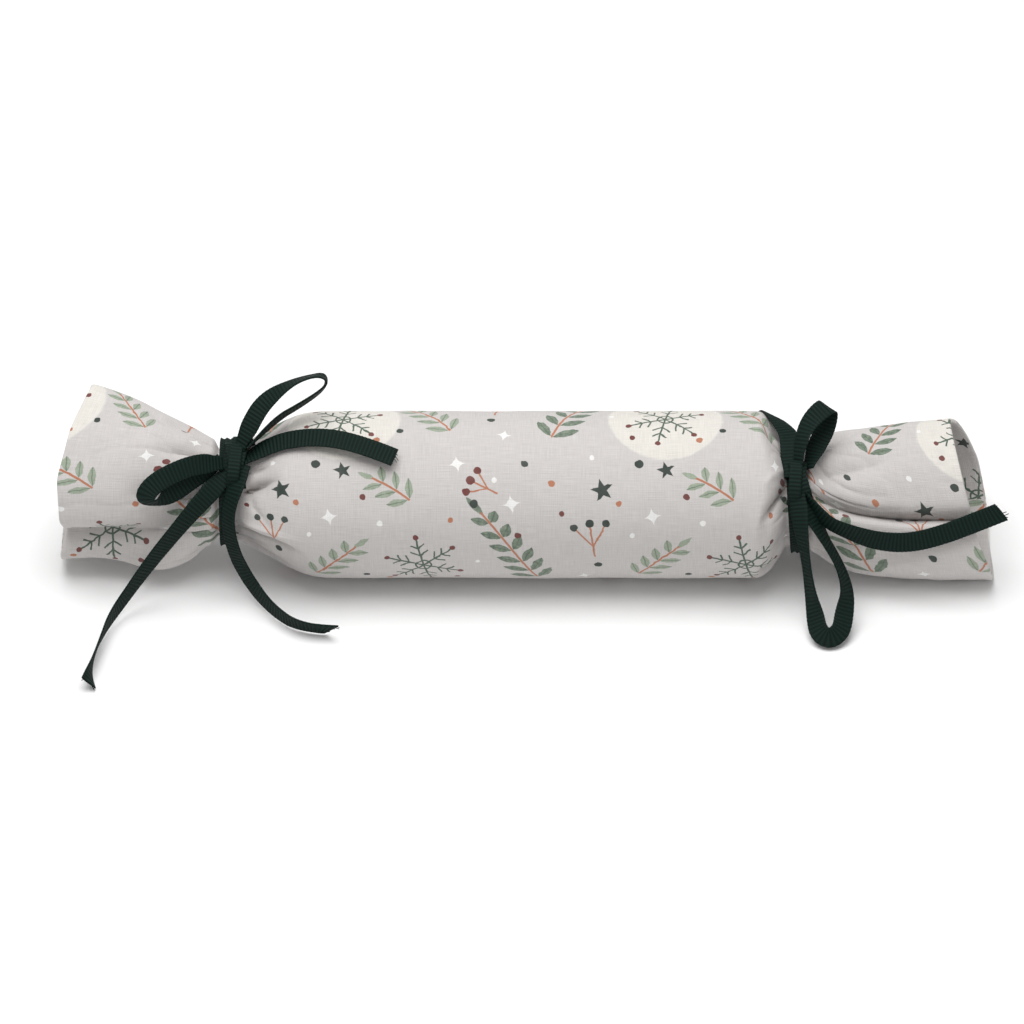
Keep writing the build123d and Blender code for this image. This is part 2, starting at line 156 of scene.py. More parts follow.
def running(line):
    """Distance along a line of points, at each of them."""
    return np.concatenate([[0], np.cumsum(np.linalg.norm(np.diff(line, axis=0), axis=1))])


def ruffle(points, size, seed):
    """Smooth noise at each point, from about -1 to 1."""
    shift = Vector((seed, -seed, 2 * seed))
    flat = points.reshape(-1, 3) / size
    return np.array([noise.noise(Vector(p) + shift) for p in flat]).reshape(points.shape[:-1])


# Ribbon routes: each point of the middle line, and the way that the ribbon's width lies there
ribbon_routes = {
    "left_bow_upper_loop": [
        ((-0.0854, -0.0036, 0.0454), (0.6, -0.5, 0.0)),
        ((-0.0822, -0.0008, 0.0523), (0.6, -0.5, -0.2)),
        ((-0.0780, 0.0032, 0.0579), (0.6, -0.6, -0.1)),
        ((-0.0702, 0.0063, 0.0624), (0.3, -0.8, 0.4)),
        ((-0.0630, 0.0083, 0.0639), (0.0, -0.8, 0.5)),
        ((-0.0594, 0.0092, 0.0620), (0.0, -0.8, 0.4)),
        ((-0.0602, 0.0084, 0.0584), (-0.1, -0.7, 0.6)),
        ((-0.0669, 0.0053, 0.0550), (-0.2, -0.7, 0.7)),
        ((-0.0753, 0.0009, 0.0524), (-0.3, -0.7, 0.7)),
        ((-0.0830, -0.0050, 0.0464), (-0.2, -0.8, 0.4)),
    ],
    "left_bow_front_loop": [
        ((-0.0900, -0.0070, 0.0424), (0.0, 0.8, 0.5)),
        ((-0.0966, -0.0110, 0.0460), (0.0, 0.5, 0.8)),
        ((-0.1043, -0.0146, 0.0456), (-0.3, 0.5, 0.8)),
        ((-0.1109, -0.0176, 0.0430), (-0.7, 0.4, 0.6)),
        ((-0.1136, -0.0194, 0.0392), (-0.9, 0.3, 0.2)),
        ((-0.1110, -0.0190, 0.0364), (-0.7, 0.3, -0.6)),
        ((-0.1047, -0.0152, 0.0380), (0.2, -0.5, -0.8)),
        ((-0.0976, -0.0100, 0.0406), (0.2, -0.6, -0.7)),
        ((-0.0908, -0.0044, 0.0420), (0.0, -0.9, -0.3)),
    ],
    "left_bow_long_tail": [
        ((-0.0884, -0.0082, 0.0406), (-0.8, 0.4, 0.2)),
        ((-0.0956, -0.0158, 0.0364), (-0.7, 0.0, 0.5)),
        ((-0.1036, -0.0206, 0.0284), (-0.6, -0.3, 0.7)),
        ((-0.1120, -0.0218, 0.0164), (-0.5, -0.4, 0.8)),
        ((-0.1194, -0.0256, 0.0066), (-0.4, -0.5, 0.7)),
        ((-0.1246, -0.0344, 0.0040), (0.0, -0.2, 0.9)),
        ((-0.1274, -0.0446, 0.0036), (0.3, -0.1, 0.9)),
        ((-0.1290, -0.0540, 0.0034), (0.1, -0.1, 0.9)),
        ((-0.1294, -0.0612, 0.0030), (-0.6, -0.6, 0.6)),
    ],
    "left_bow_curved_tail": [
        ((-0.0838, -0.0076, 0.0424), (1.0, 0.0, 0.0)),
        ((-0.0866, -0.0144, 0.0392), (0.7, -0.6, 0.3)),
        ((-0.0892, -0.0182, 0.0306), (0.6, -0.6, 0.5)),
        ((-0.0876, -0.0194, 0.0196), (0.6, -0.6, 0.5)),
        ((-0.0838, -0.0199, 0.0092), (0.6, -0.4, 0.6)),
        ((-0.0765, -0.0285, 0.0040), (0.2, -0.3, 0.9)),
        ((-0.0670, -0.0373, 0.0036), (0.1, -0.4, 0.8)),
        ((-0.0580, -0.0374, 0.0034), (0.1, -0.4, 0.8)),
    ],
    "left_bow_top_tail": [
        ((-0.0848, -0.0062, 0.0424), (0.1, 0.9, 0.2)),
        ((-0.0766, -0.0038, 0.0474), (0.0, 0.9, 0.3)),
        ((-0.0633, -0.0060, 0.0522), (0.0, 0.9, 0.4)),
        ((-0.0504, -0.0092, 0.0524), (0.1, 0.9, 0.4)),
        ((-0.0391, -0.0130, 0.0496), (0.2, 0.9, 0.4)),
    ],
    "right_bow_upper_loop": [
        ((0.0806, -0.0096, 0.0436), (0.6, -0.6, 0.4)),
        ((0.0812, -0.0056, 0.0488), (0.5, -0.7, 0.5)),
        ((0.0838, -0.0004, 0.0530), (0.7, -0.7, 0.0)),
        ((0.0888, 0.0028, 0.0564), (0.8, -0.4, -0.4)),
        ((0.0902, 0.0064, 0.0528), (0.8, -0.4, -0.4)),
        ((0.0892, 0.0030, 0.0476), (0.8, -0.4, -0.3)),
        ((0.0858, -0.0032, 0.0446), (0.8, -0.5, 0.0)),
        ((0.0838, -0.0094, 0.0424), (0.6, -0.6, 0.4)),
    ],
    "right_bow_lower_loop": [
        ((0.0804, -0.0150, 0.0396), (1.0, 0.0, 0.0)),
        ((0.0812, -0.0222, 0.0316), (0.7, -0.6, 0.3)),
        ((0.0830, -0.0254, 0.0205), (0.3, -0.7, 0.6)),
        ((0.0846, -0.0300, 0.0110), (0.5, -0.7, 0.5)),
        ((0.0860, -0.0348, 0.0062), (0.8, -0.4, 0.3)),
        ((0.0868, -0.0398, 0.0042), (0.6, 0.5, 0.6)),
        ((0.0902, -0.0420, 0.0034), (0.0, 0.6, 0.8)),
        ((0.0936, -0.0394, 0.0044), (-0.6, 0.5, 0.6)),
        ((0.0946, -0.0342, 0.0066), (-0.9, -0.2, 0.2)),
        ((0.0958, -0.0290, 0.0112), (-0.6, -0.6, 0.5)),
        ((0.0930, -0.0256, 0.0195), (-0.4, -0.7, 0.6)),
        ((0.0874, -0.0232, 0.0290), (-0.5, -0.7, 0.5)),
        ((0.0814, -0.0150, 0.0372), (-0.9, -0.2, 0.0)),
    ],
    "right_bow_long_tail": [
        ((0.0820, -0.0146, 0.0376), (0.3, -0.3, 0.9)),
        ((0.0874, -0.0214, 0.0326), (0.4, -0.4, 0.8)),
        ((0.0964, -0.0230, 0.0288), (0.3, -0.1, 0.9)),
        ((0.1052, -0.0226, 0.0250), (0.2, 0.3, 0.9)),
        ((0.1146, -0.0214, 0.0236), (0.0, 0.5, 0.9)),
        ((0.1244, -0.0198, 0.0256), (-0.2, 0.5, 0.9)),
        ((0.1336, -0.0178, 0.0286), (-0.3, 0.6, 0.8)),
        ((0.1414, -0.0152, 0.0304), (-0.3, 0.6, 0.8)),
    ],
    "right_bow_back_tail": [
        ((0.0784, -0.0116, 0.0410), (0.9, -0.2, 0.2)),
        ((0.0786, -0.0046, 0.0444), (0.9, -0.2, 0.1)),
        ((0.0784, 0.0018, 0.0460), (0.9, 0.1, -0.1)),
        ((0.0760, 0.0068, 0.0460), (0.8, 0.2, -0.3)),
        ((0.0734, 0.0124, 0.0450), (0.8, 0.0, -0.5)),
        ((0.0724, 0.0190, 0.0398), (0.8, -0.3, -0.3)),
        ((0.0712, 0.0268, 0.0310), (0.9, -0.2, -0.1)),
        ((0.0694, 0.0294, 0.0190), (0.9, 0.1, 0.1)),
        ((0.0642, 0.0326, 0.0056), (0.9, 0.2, 0.1)),
        ((0.0550, 0.0376, 0.0018), (0.6, 0.8, 0.0)),
    ],
}
# The real length of each strand, and what its far end is
ribbon_lengths = {
    "left_bow_upper_loop": (0.0694, "object"),
    "left_bow_front_loop": (0.0587, "object"),
    "left_bow_long_tail": (0.0903, "bare"),
    "left_bow_curved_tail": (0.0678, "bare"),
    "left_bow_top_tail": (0.0475, "bare"),
    "right_bow_upper_loop": (0.0422, "object"),
    "right_bow_lower_loop": (0.0997, "object"),
    "right_bow_long_tail": (0.0668, "bare"),
    "right_bow_back_tail": (0.0873, "bare"),
}
route_resolution = 24
width_arm = 0.01

# Ribbon mesh: steps along and across it, its flat middle, its selvedges, and its pinch at the knot
rings_per_rib = 8
across_points = 8
edge_points = 3
flat_share = 0.9
selvedge_share = 0.8
selvedge_relief = 0.4
rib_swell = 0.012
pinch_length = 0.008
pinch_share = 0.66

# Cut ends: how they fray, how they are slanted, and the threads that stand out of them
fray_rings = 12
fray_length = 0.0006
fray_size = 0.0008
fray_seed = 4.2
cut_slants = {"left_bow_curved_tail": 0.7, "right_bow_long_tail": -0.4}
cut_rings = 40
thread_count = 6
thread_points = 6
thread_length = 0.0018
thread_vary = 0.45
thread_radius = 0.00012
thread_root = 0.0004
thread_spread = 0.85
thread_fan = 0.5
thread_curl = 0.4
thread_lift = 0.5

# A thread's curl and length vary with its number and with the place of the ribbon's end
curl_steps = (7, 900)
length_steps = (5, 700)


def spline_points(points):
    """Points along the smooth line that has these control points."""
    curve = bpy.data.curves.new("route", "CURVE")
    curve.dimensions = "3D"
    curve.resolution_u = route_resolution
    spline = curve.splines.new("NURBS")
    spline.points.add(len(points) - 1)
    for place, point in zip(spline.points, points):
        place.co = (*point, 1)
    spline.order_u = 3
    spline.use_endpoint_u = True
    holder = bpy.data.objects.new("route", curve)
    mesh = bpy.data.meshes.new_from_object(holder)
    found = np.array([v.co for v in mesh.vertices], float)
    bpy.data.objects.remove(holder)
    bpy.data.curves.remove(curve)
    bpy.data.meshes.remove(mesh)
    return found


def spaced(line, *others):
    """The line again, and others beside it, at even steps of a rib's share."""
    along = running(line)
    count = int(along[-1] / rib_pitch * rings_per_rib)
    places = np.linspace(0, along[-1], count)
    lines = []
    for each in (line, *others):
        lines.append(np.stack([np.interp(places, along, each[:, k]) for k in range(3)], 1))
    return places, lines


def ribbon_section():
    """Outline across a ribbon, as shares of its half width and half thickness."""
    top = [(w, 1.0) for w in np.linspace(flat_share, -flat_share, across_points)]
    turn = np.radians(np.linspace(90, 270, edge_points + 2)[1:-1])
    left = [(-flat_share + (1 - flat_share) * math.cos(a), math.sin(a)) for a in turn]
    half = top + left
    return np.array(half + [(-w, -t) for w, t in half])


def ribs(places):
    """Wave of the ribs along a ribbon, and its half thickness there."""
    wave = np.cos(2 * math.pi * places / rib_pitch)
    return wave, ribbon_thickness / 2 - rib_height * (1 - wave) / 2


def ribbon_map(section, places):
    """Map of a ribbon: the share of its half width, and the count of its ribs."""
    maps = np.zeros((len(places), len(section) + 1, 2))
    maps[:, :, 0] = np.append(section[:, 0], section[0, 0])[None]
    maps[:, :, 1] = (places / rib_pitch)[:, None]
    return maps


def ribbon_mesh(name, line, width, places, shares):
    """Ribbed ribbon along a line of points, with its width along the given directions, at shares of it."""
    tangent = unit(np.gradient(line, axis=0))
    across = unit(width - tangent * (width * tangent).sum(1, keepdims=True))
    out = np.cross(tangent, across)
    section = ribbon_section()
    wave, half_thickness = ribs(places)
    half_width = band_half * shares * (1 + rib_swell * wave)
    selvedge = np.abs(section[:, 0]) > selvedge_share
    selvedge_half = ribbon_thickness / 2 - rib_height * selvedge_relief
    wide = half_width[:, None] * section[None, :, 0]
    thick = np.where(selvedge, selvedge_half, half_thickness[:, None]) * section[None, :, 1]
    rings = line[:, None] + across[:, None] * wide[..., None] + out[:, None] * thick[..., None]
    if name in ragged_ends:
        rough = fray_length * ruffle(rings[-1], fray_size, fray_seed)
        slant = cut_slants.get(name, 0.0) * band_half * section[:, 0]
        for count, shift in ((fray_rings, rough), (cut_rings, slant)):
            rings[-count:] += tangent[-1] * (np.linspace(0, 1, count)[:, None] * shift)[..., None]
    return ring_mesh(name, rings, ribbon_map(section, places), closed=False)


def loose_threads(name, end, tangent, across):
    """Short curled threads that stand out of a cut end."""
    made = []
    up = np.cross(tangent, across)
    edge = across + tangent * cut_slants.get(name, 0.0)
    corners = [across, up, -across, -up]
    run = np.linspace(0, 1, thread_points)[:, None]
    for k in range(thread_count):
        place = 2 * (k + 0.5) / thread_count - 1
        curl = math.sin(curl_steps[0] * k + curl_steps[1] * end[0])
        vary = math.cos(length_steps[0] * k + length_steps[1] * end[1])
        far = thread_length * (1 - thread_vary + thread_vary * vary)
        start = end + edge * (place * band_half * thread_spread) - tangent * thread_root
        bend = across * (thread_fan * place + thread_curl * curl) + up * thread_lift * curl
        line = start + far * (tangent * run + bend * run**2)
        rings = np.stack([line + thread_radius * corner for corner in corners], 1)
        maps = np.zeros((thread_points, len(corners) + 1, 2))
        made.append(ring_mesh(f"{name}_thread_{k}", rings, maps, closed=False))
    return made


def strand(name, route, far_end):
    """One loop or loose end of a bow, drawn narrow where it leaves the knot."""
    points = [Vector(p) for p, _ in route]
    line = spline_points(points)
    side = spline_points([p + width_arm * Vector(w).normalized() for p, (_, w) in zip(points, route)])
    places, (line, side) = spaced(line, side)
    from_knot = places if far_end == "bare" else np.minimum(places, places[-1] - places)
    shares = pinch_share + (1 - pinch_share) * smooth(from_knot / pinch_length)
    made = ribbon_mesh(name, line, side - line, places, shares)
    if name in ragged_ends:
        tangent = unit(line[-1] - line[-3])
        across = side[-1] - line[-1]
        across = unit(across - tangent * across.dot(tangent))
        made = join(name, [made, *loose_threads(name, line[-1], tangent, across)])
    made.name = name + "_ribbon"
    return made, line


ribbons = {}
ragged_ends = [name for name, (length, far_end) in ribbon_lengths.items() if far_end == "bare"]
for name, route in ribbon_routes.items():
    length, far_end = ribbon_lengths[name]
    made, line = strand(name, route, far_end)
    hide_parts(name)
    ribbons[name] = made


# Barrel cloth

# Each crease: angle at the neck, drift up the shoulder, depth, width above, width below, and the shares of
# the way to the ribbon where it starts and where it is at its deepest
creases = {
    "left": [
        (144, -18, 0.0052, 12, 9, 0.42, 0.76),
        (186, 4, 0.0050, 5, 24, 0.14, 0.55),
        (173, 4, -0.0014, 12, 8, 0.10, 0.55),
        (112, 8, 0.0018, 14, 14, 0.50, 0.80),
        (84, -8, 0.0034, 12, 14, 0.30, 0.70),
        (52, 7, 0.0040, 12, 12, 0.25, 0.65),
        (22, -10, 0.0028, 12, 12, 0.45, 0.80),
        (-12, 9, 0.0044, 12, 14, 0.18, 0.60),
        (-48, -9, 0.0034, 12, 14, 0.30, 0.70),
        (-84, 8, 0.0026, 14, 12, 0.30, 0.70),
        (-112, -8, 0.0020, 12, 12, 0.45, 0.80),
        (-146, 9, 0.0036, 14, 14, 0.22, 0.65),
    ],
    "right": [
        (136, 30, 0.0056, 7, 17, 0.02, 0.46),
        (118, 20, -0.0012, 12, 9, 0.05, 0.50),
        (224, -17, 0.0040, 9, 12, 0.00, 0.45),
        (182, 10, 0.0022, 14, 14, 0.30, 0.75),
        (98, -16, 0.0048, 19, 13, 0.10, 0.56),
        (70, 8, 0.0036, 11, 13, 0.25, 0.70),
        (36, -9, 0.0042, 13, 11, 0.12, 0.60),
        (4, 10, 0.0028, 11, 11, 0.35, 0.80),
        (-26, -8, 0.0042, 12, 13, 0.15, 0.60),
        (-60, 9, 0.0032, 13, 12, 0.25, 0.70),
        (-92, -10, 0.0028, 12, 14, 0.25, 0.70),
    ],
}
slit_share = 0.55
slit_degrees = 3.4
crease_power = 1.5
neck_fade = 0.45
neck_fade_start = 0.85
first_corner = -45.0
cloth_columns = 240
shoulder_rows = {"left": 36, "right": 24}
shoulder_hold = 0.003
sleeve_rows = 44
hollow_step = 8
hollow_margin = 0.008
neck_overlap = 0.0022
seam_lap = 0.0004
seam_degrees = 13.0
seam_edge = 2.0
seam_fade = 0.02
map_unit = 0.1

# Fine wrinkles that run out from the necks, and soft waves of the cloth. Each wave: size, seed, height
wrinkle_round = 2.6
wrinkle_length = 0.022
wrinkle_width = 0.20
gather_depth = 0.0008
gather_shares = (0.3, 0.9)
shoulder_run = 0.03
shoulder_seeds = {"left": 2.3, "right": 7.9}
barrel_waves = [(0.016, 3.1, 0.00022), (0.007, 8.4, 0.00010)]

# Web of pleats that closes a neck inside, round a slit for the snap
web_clear = 0.0013
web_shares = (0.0, 0.12, 0.3, 0.5, 0.7, 0.85, 1.0)
web_pleats = 13
web_sway = 3
web_pleat_depth = 0.0012
web_pleat_lead = 0.15
web_thickness = 0.002
web_lip = 0.0021
slit_half_width = 0.0014
slit_half_height = 0.0062


def between(before, start, end, after):
    """The middle between two points, on the smooth line through four."""
    return (9 * (start + end) - before - after) / 16


def finer(grid):
    """Twice as many rows and columns, on a smooth surface through a grid that is closed round its columns."""
    rows, columns = grid.shape[:2]
    wide = np.empty((rows, 2 * columns, 3))
    wide[:, ::2] = grid
    wide[:, 1::2] = between(np.roll(grid, 1, 1), grid, np.roll(grid, -1, 1), np.roll(grid, -2, 1))
    longer = np.concatenate([2 * wide[:1] - wide[1:2], wide, 2 * wide[-1:] - wide[-2:-1]])
    tall = np.empty((2 * rows - 1, 2 * columns, 3))
    tall[::2] = wide
    tall[1::2] = between(longer[:-3], longer[1:-2], longer[2:-1], longer[3:])
    return tall


def wrinkles(turn, distance, seed):
    """Depth, from 0 to 1, of narrow creases that run out from a neck."""
    turn, distance = np.broadcast_arrays(turn, distance)
    across = wrinkle_round * np.cos(turn)
    up = wrinkle_round * np.sin(turn)
    lines = np.stack([across, up, distance / wrinkle_length + seed], -1)
    crossing = np.abs(ruffle(lines, 1.0, seed)) / wrinkle_width
    return (1 - np.minimum(crossing, 1)) ** 2


def softness(points, waves):
    """Height of the cloth's soft waves at each point."""
    return sum(ruffle(points, size, seed) * height for size, seed, height in waves)


def turn_gap(a, b, turn):
    """The way from b to a, the short way round."""
    return (a - b + turn / 2) % turn - turn / 2


def shoulder_radius(side, share, degrees):
    """Radius of the gathered cloth, a share of the way from the tube's end to the ribbon, at each angle."""
    drop = barrel_radius - neck_radius[side]
    radius = barrel_radius - drop * share ** shoulder_power[side]
    near_neck = 1 - neck_fade * ramp(share, neck_fade_start, 1)
    for angle, drift, depth, above, below, start, full in creases[side]:
        rise = ramp(share, start, full) * near_neck
        gap = turn_gap(degrees, angle + drift * (1 - share) / (1 - start), 360)
        span = np.where(gap < 0, above, below)
        fold = (1 - slit_share) * np.exp(-np.abs(gap / span) ** crease_power)
        slit = slit_share * np.exp(-np.abs(gap / slit_degrees) ** crease_power) * rise
        radius = radius - depth * rise * (fold + slit)
    small = wrinkles(np.radians(degrees), share * shoulder_run, shoulder_seeds[side])
    return radius - gather_depth * small * ramp(share, *gather_shares)


def barrel_outline(x, degrees):
    """Radius and rise of the cloth at each place."""
    radius = np.full(np.broadcast(x, degrees).shape, barrel_radius)
    rise = np.zeros_like(radius)
    for side, way in sides.items():
        length = abs(neck_x[side] - tube_ends[side]) - band_half
        share = np.clip(way * (x - tube_ends[side]) / length, 0, 1)
        on_side = np.broadcast_to(way * x > way * tube_ends[side], radius.shape)
        radius = np.where(on_side, shoulder_radius(side, share, degrees), radius)
        rise = np.where(on_side, neck_rise[side] * share, rise)
    return radius, rise


def around(x, radius, rise, degrees):
    """Points round the barrel's axis, kept above the table."""
    y = radius * np.cos(np.radians(degrees))
    z = axis_height + rise + radius * np.sin(np.radians(degrees))
    return np.stack([np.broadcast_to(x, y.shape), y, np.maximum(z, table_gap)], -1)


def outward(points, distance):
    """Points moved away from the barrel's axis, and kept above the table."""
    arm = points - np.array([0, 0, axis_height])
    arm[..., 0] = 0
    moved = points + unit(arm) * distance
    moved[..., 2] = np.maximum(moved[..., 2], table_gap)
    return moved


def shoulder_cloth(side, degrees):
    """Cloth from a neck to a little way over the card tube."""
    way = sides[side]
    start = neck_x[side] + way * neck_overlap
    x = np.linspace(start, tube_ends[side] - way * shoulder_hold, shoulder_rows[side])[:, None]
    radius, rise = barrel_outline(x, degrees)
    return around(x, radius, rise, degrees)


def neck_web(side, degrees):
    """Rings of the gathered cloth inside a neck: from its lip to a slit in the middle, and back behind it."""
    way = sides[side]
    bore = neck_radius[side] - gather_wall
    web_x = neck_x[side] - way * (bore * math.sin(bend_limit) + web_clear)
    turn = np.radians(degrees[0])
    pleat = np.cos(turn * web_pleats + np.sin(web_sway * turn))
    rows = []
    for share in web_shares:
        half_width = bore * (1 - share) + slit_half_width * share
        half_height = bore * (1 - share) + slit_half_height * share
        x = web_x + way * web_pleat_depth * pleat * math.sin(math.pi * min(1, share + web_pleat_lead))
        z = axis_height + neck_rise[side] + half_height * np.sin(turn)
        rows.append(np.stack([x, half_width * np.cos(turn), z], -1))
    lip = rows[0].copy()
    lip[:, 0] = neck_x[side] + way * web_lip
    behind = [row - np.array([way * web_thickness, 0, 0]) for row in rows[::-1]]
    return [lip] + rows + behind


def full_turn(columns):
    """Angles round the barrel, one for each column of the cloth."""
    return np.linspace(first_corner, first_corner + 360, columns, endpoint=False)[None]


def barrel_cloth():
    """Sleeve with both shoulders, as one closed skin: outside, the webs inside the necks, and inside."""
    degrees = full_turn(cloth_columns)
    left = shoulder_cloth("left", degrees)
    right = shoulder_cloth("right", degrees)[::-1]
    x = np.linspace(left[-1, 0, 0], right[0, 0, 0], sleeve_rows)[1:-1, None]
    middle = around(x, np.full((len(x), cloth_columns), barrel_radius), 0.0, degrees)
    outer = finer(np.concatenate([left, middle, right]))
    columns = outer.shape[1]
    degrees = full_turn(columns)
    from_left = outer[..., 0] - neck_x["left"]
    from_right = neck_x["right"] - outer[..., 0]
    lap = seam_lap * ramp(seam_degrees - (degrees - first_corner), 0, seam_edge)
    lap = lap * ramp(from_left, 0, seam_fade) * ramp(from_right, 0, seam_fade)
    outer = outward(outer, (softness(outer, barrel_waves) + lap)[..., None])
    radius = np.hypot(outer[..., 1], outer[..., 2] - axis_height)
    line = np.stack([outer[..., 0].mean(1), radius.mean(1)], 1)
    run = line[0, 0] + running(line)

    past_left = line[:, 0] > neck_x["left"] + hollow_margin
    past_right = line[:, 0] < neck_x["right"] - hollow_margin
    hollow = outward(outer[past_left & past_right][::-hollow_step], -cloth_thickness)
    hollow[..., 2] = np.maximum(hollow[..., 2], cloth_thickness)
    inside = neck_web("right", degrees) + list(hollow) + neck_web("left", degrees)[::-1]
    rings = np.concatenate([outer, np.array(inside)])
    maps = np.zeros((len(rings), columns + 1, 2))
    maps[:, :, 0] = np.linspace(0, cloth_round, columns + 1)[None] / map_unit
    maps[: len(run), :, 1] = run[:, None] / map_unit
    maps[len(run):, :, 1] = rings[len(run):, :1, 0] / map_unit
    return ring_mesh("barrel_cloth", rings, maps, closed=True)


# Flared ends

# Each corner of a rim: Y and Z from the barrel's axis, how far it stands out past the rim's plane, how soon
# the cloth opens to it, and its angle at the neck. Each crease: corner at the neck, corner at the rim,
# depth, width in corners, reach. Each puff: corner, width in corners, distance from the neck, length, height
flares = {
    "left": {
        "rim_x": -0.135, "lean": math.radians(-12),
        "rim": [
            (0.0200, -0.0090, 0.0000, 2.2, -45), (0.0250, 0.0070, 0.0000, 2.0, -12),
            (0.0230, 0.0210, 0.0000, 1.4, 20), (0.0160, 0.0290, 0.0004, 1.25, 53),
            (0.0005, 0.0255, 0.0056, 1.8, 86), (-0.0115, 0.0160, 0.0074, 2.6, 119),
            (-0.0160, 0.0030, 0.0042, 3.2, 151), (-0.0080, -0.0050, 0.0006, 1.2, 184),
            (-0.0130, -0.0120, 0.0012, 3.4, 217), (-0.0050, -0.0200, 0.0000, 3.4, 250),
            (0.0080, -0.0185, 0.0000, 2.6, 282),
        ],
        "creases": [
            (5.7, 5.2, 0.0016, 0.24, 0.030), (4.2, 4.6, 0.0016, 0.22, 0.024), (3.2, 3.5, 0.0014, 0.20, 0.028),
            (1.8, 1.5, 0.0020, 0.26, 0.034), (0.6, 0.4, 0.0024, 0.26, 0.036), (9.4, 9.6, 0.0020, 0.26, 0.030),
        ],
        "puffs": [(8.2, 1.1, 0.017, 0.010, 0.0046)],
    },
    "right": {
        "rim_x": 0.132, "lean": math.radians(17),
        "rim": [
            (0.0190, -0.0185, 0.0010, 2.4, -45), (0.0245, -0.0065, 0.0020, 2.2, -12),
            (0.0220, 0.0080, 0.0010, 1.5, 20), (0.0110, 0.0205, 0.0000, 1.0, 53),
            (-0.0060, 0.0160, 0.0012, 1.5, 86), (-0.0135, 0.0056, 0.0014, 4.6, 121),
            (-0.0090, -0.0030, -0.0010, 4.0, 138), (-0.0165, 0.0010, 0.0010, 3.0, 158),
            (-0.0204, -0.0112, 0.0020, 3.2, 206), (-0.0125, -0.0236, 0.0008, 3.4, 250),
            (0.0030, -0.0240, 0.0000, 2.6, 282),
        ],
        "creases": [
            (4.9, 3.3, 0.0016, 0.22, 0.036), (7.9, 7.4, 0.0016, 0.24, 0.030), (3.5, 2.8, 0.0014, 0.22, 0.026),
            (1.6, 1.4, 0.0020, 0.26, 0.034), (0.5, 0.6, 0.0020, 0.26, 0.036), (9.5, 9.7, 0.0018, 0.26, 0.030),
        ],
        "puffs": [(8.6, 1.0, 0.014, 0.009, 0.0016)],
    },
}
fold_bulge = 0.07
fold_soften = 3
soften_reach = 2
side_steps = 20
flare_rows = 44
row_power = 1.15
rim_steps = 5
rim_gap = 0.0001
root_depth = 0.0010
neck_clear = 0.0004
flare_start = 0.0034
lean_power = 0.5
fold_power = 1.4
fold_fade = 0.012
gather_loss = 0.8
hem_width = 0.0022
hem_edge = 0.0008
hem_swell = 0.35
print_stretch = 1.05
inside_print_shift = 0.031
flare_seeds = {"left": 4.1, "right": 9.6}
flare_waves = [(0.014, 5.7, 0.0005), (0.006, 1.9, 0.00018)]

# Distances past the neck between which each of these comes in or goes
neck_opens = (0.0030, 0.0046)
folds_rise = (0.004, 0.010)
waves_rise = (0.004, 0.012)
gathers_rise = (0.002, 0.005)
gathers_fade = (0.006, 0.032)


def folded_outline(corners):
    """Closed outline that bulges between soft corners. Each corner is (Y, Z, stand-out)."""
    points = []
    count = len(corners)
    for i in range(count):
        start = corners[i]
        chord = corners[(i + 1) % count] - start
        out = np.array([chord[1], -chord[0], 0])
        for t in np.arange(side_steps) / side_steps:
            points.append(start + chord * t + out * (4 * fold_bulge * t * (1 - t)))
    points = np.array(points)
    reach = soften_reach * fold_soften
    kernel = np.exp(-np.linspace(-soften_reach, soften_reach, 2 * reach + 1) ** 2)
    kernel = kernel / kernel.sum()
    wrapped = np.concatenate([points[-reach:], points, points[:reach]])
    return np.stack([np.convolve(wrapped[:, k], kernel, "valid") for k in range(3)], 1)


def flare_outlines(side, distances, reach):
    """Outlines of the cloth past a neck, at each distance, from the neck's round to the folded rim."""
    shape = flares[side]
    way = sides[side]
    inner_radius = neck_radius[side] - gather_wall - neck_clear
    outlines = []
    for distance in distances:
        way_out = max(0.0, (distance - flare_start) / (reach - flare_start))
        radius = inner_radius + (neck_radius[side] - inner_radius) * float(ramp(distance, *neck_opens))
        corners = []
        for y, z, stand_out, power, angle in shape["rim"]:
            turn = math.radians(angle)
            ring = np.array([radius * math.cos(turn), radius * math.sin(turn) + neck_rise[side], 0])
            share = 1 - (1 - way_out) ** power
            corner = ring + share * (np.array([y, z, 0]) - ring)
            corner[2] = stand_out * way_out
            corners.append(corner)
        outline = folded_outline(corners)
        lean = shape["lean"] * way_out**lean_power
        x = neck_x[side] + way * (distance + outline[:, 2]) - outline[:, 1] * math.sin(lean)
        outlines.append(np.stack([x, outline[:, 0], axis_height + outline[:, 1] * math.cos(lean)], 1))
    return np.array(outlines)


def outer_way(points, way):
    """The way out of the cloth at each point of a grid, and the way along it."""
    wrapped = np.concatenate([points[:, -1:], points, points[:, :1]], 1)
    along = np.gradient(points, axis=0)
    return unit(np.cross((wrapped[:, 2:] - wrapped[:, :-2]) / 2, along)) * way, along


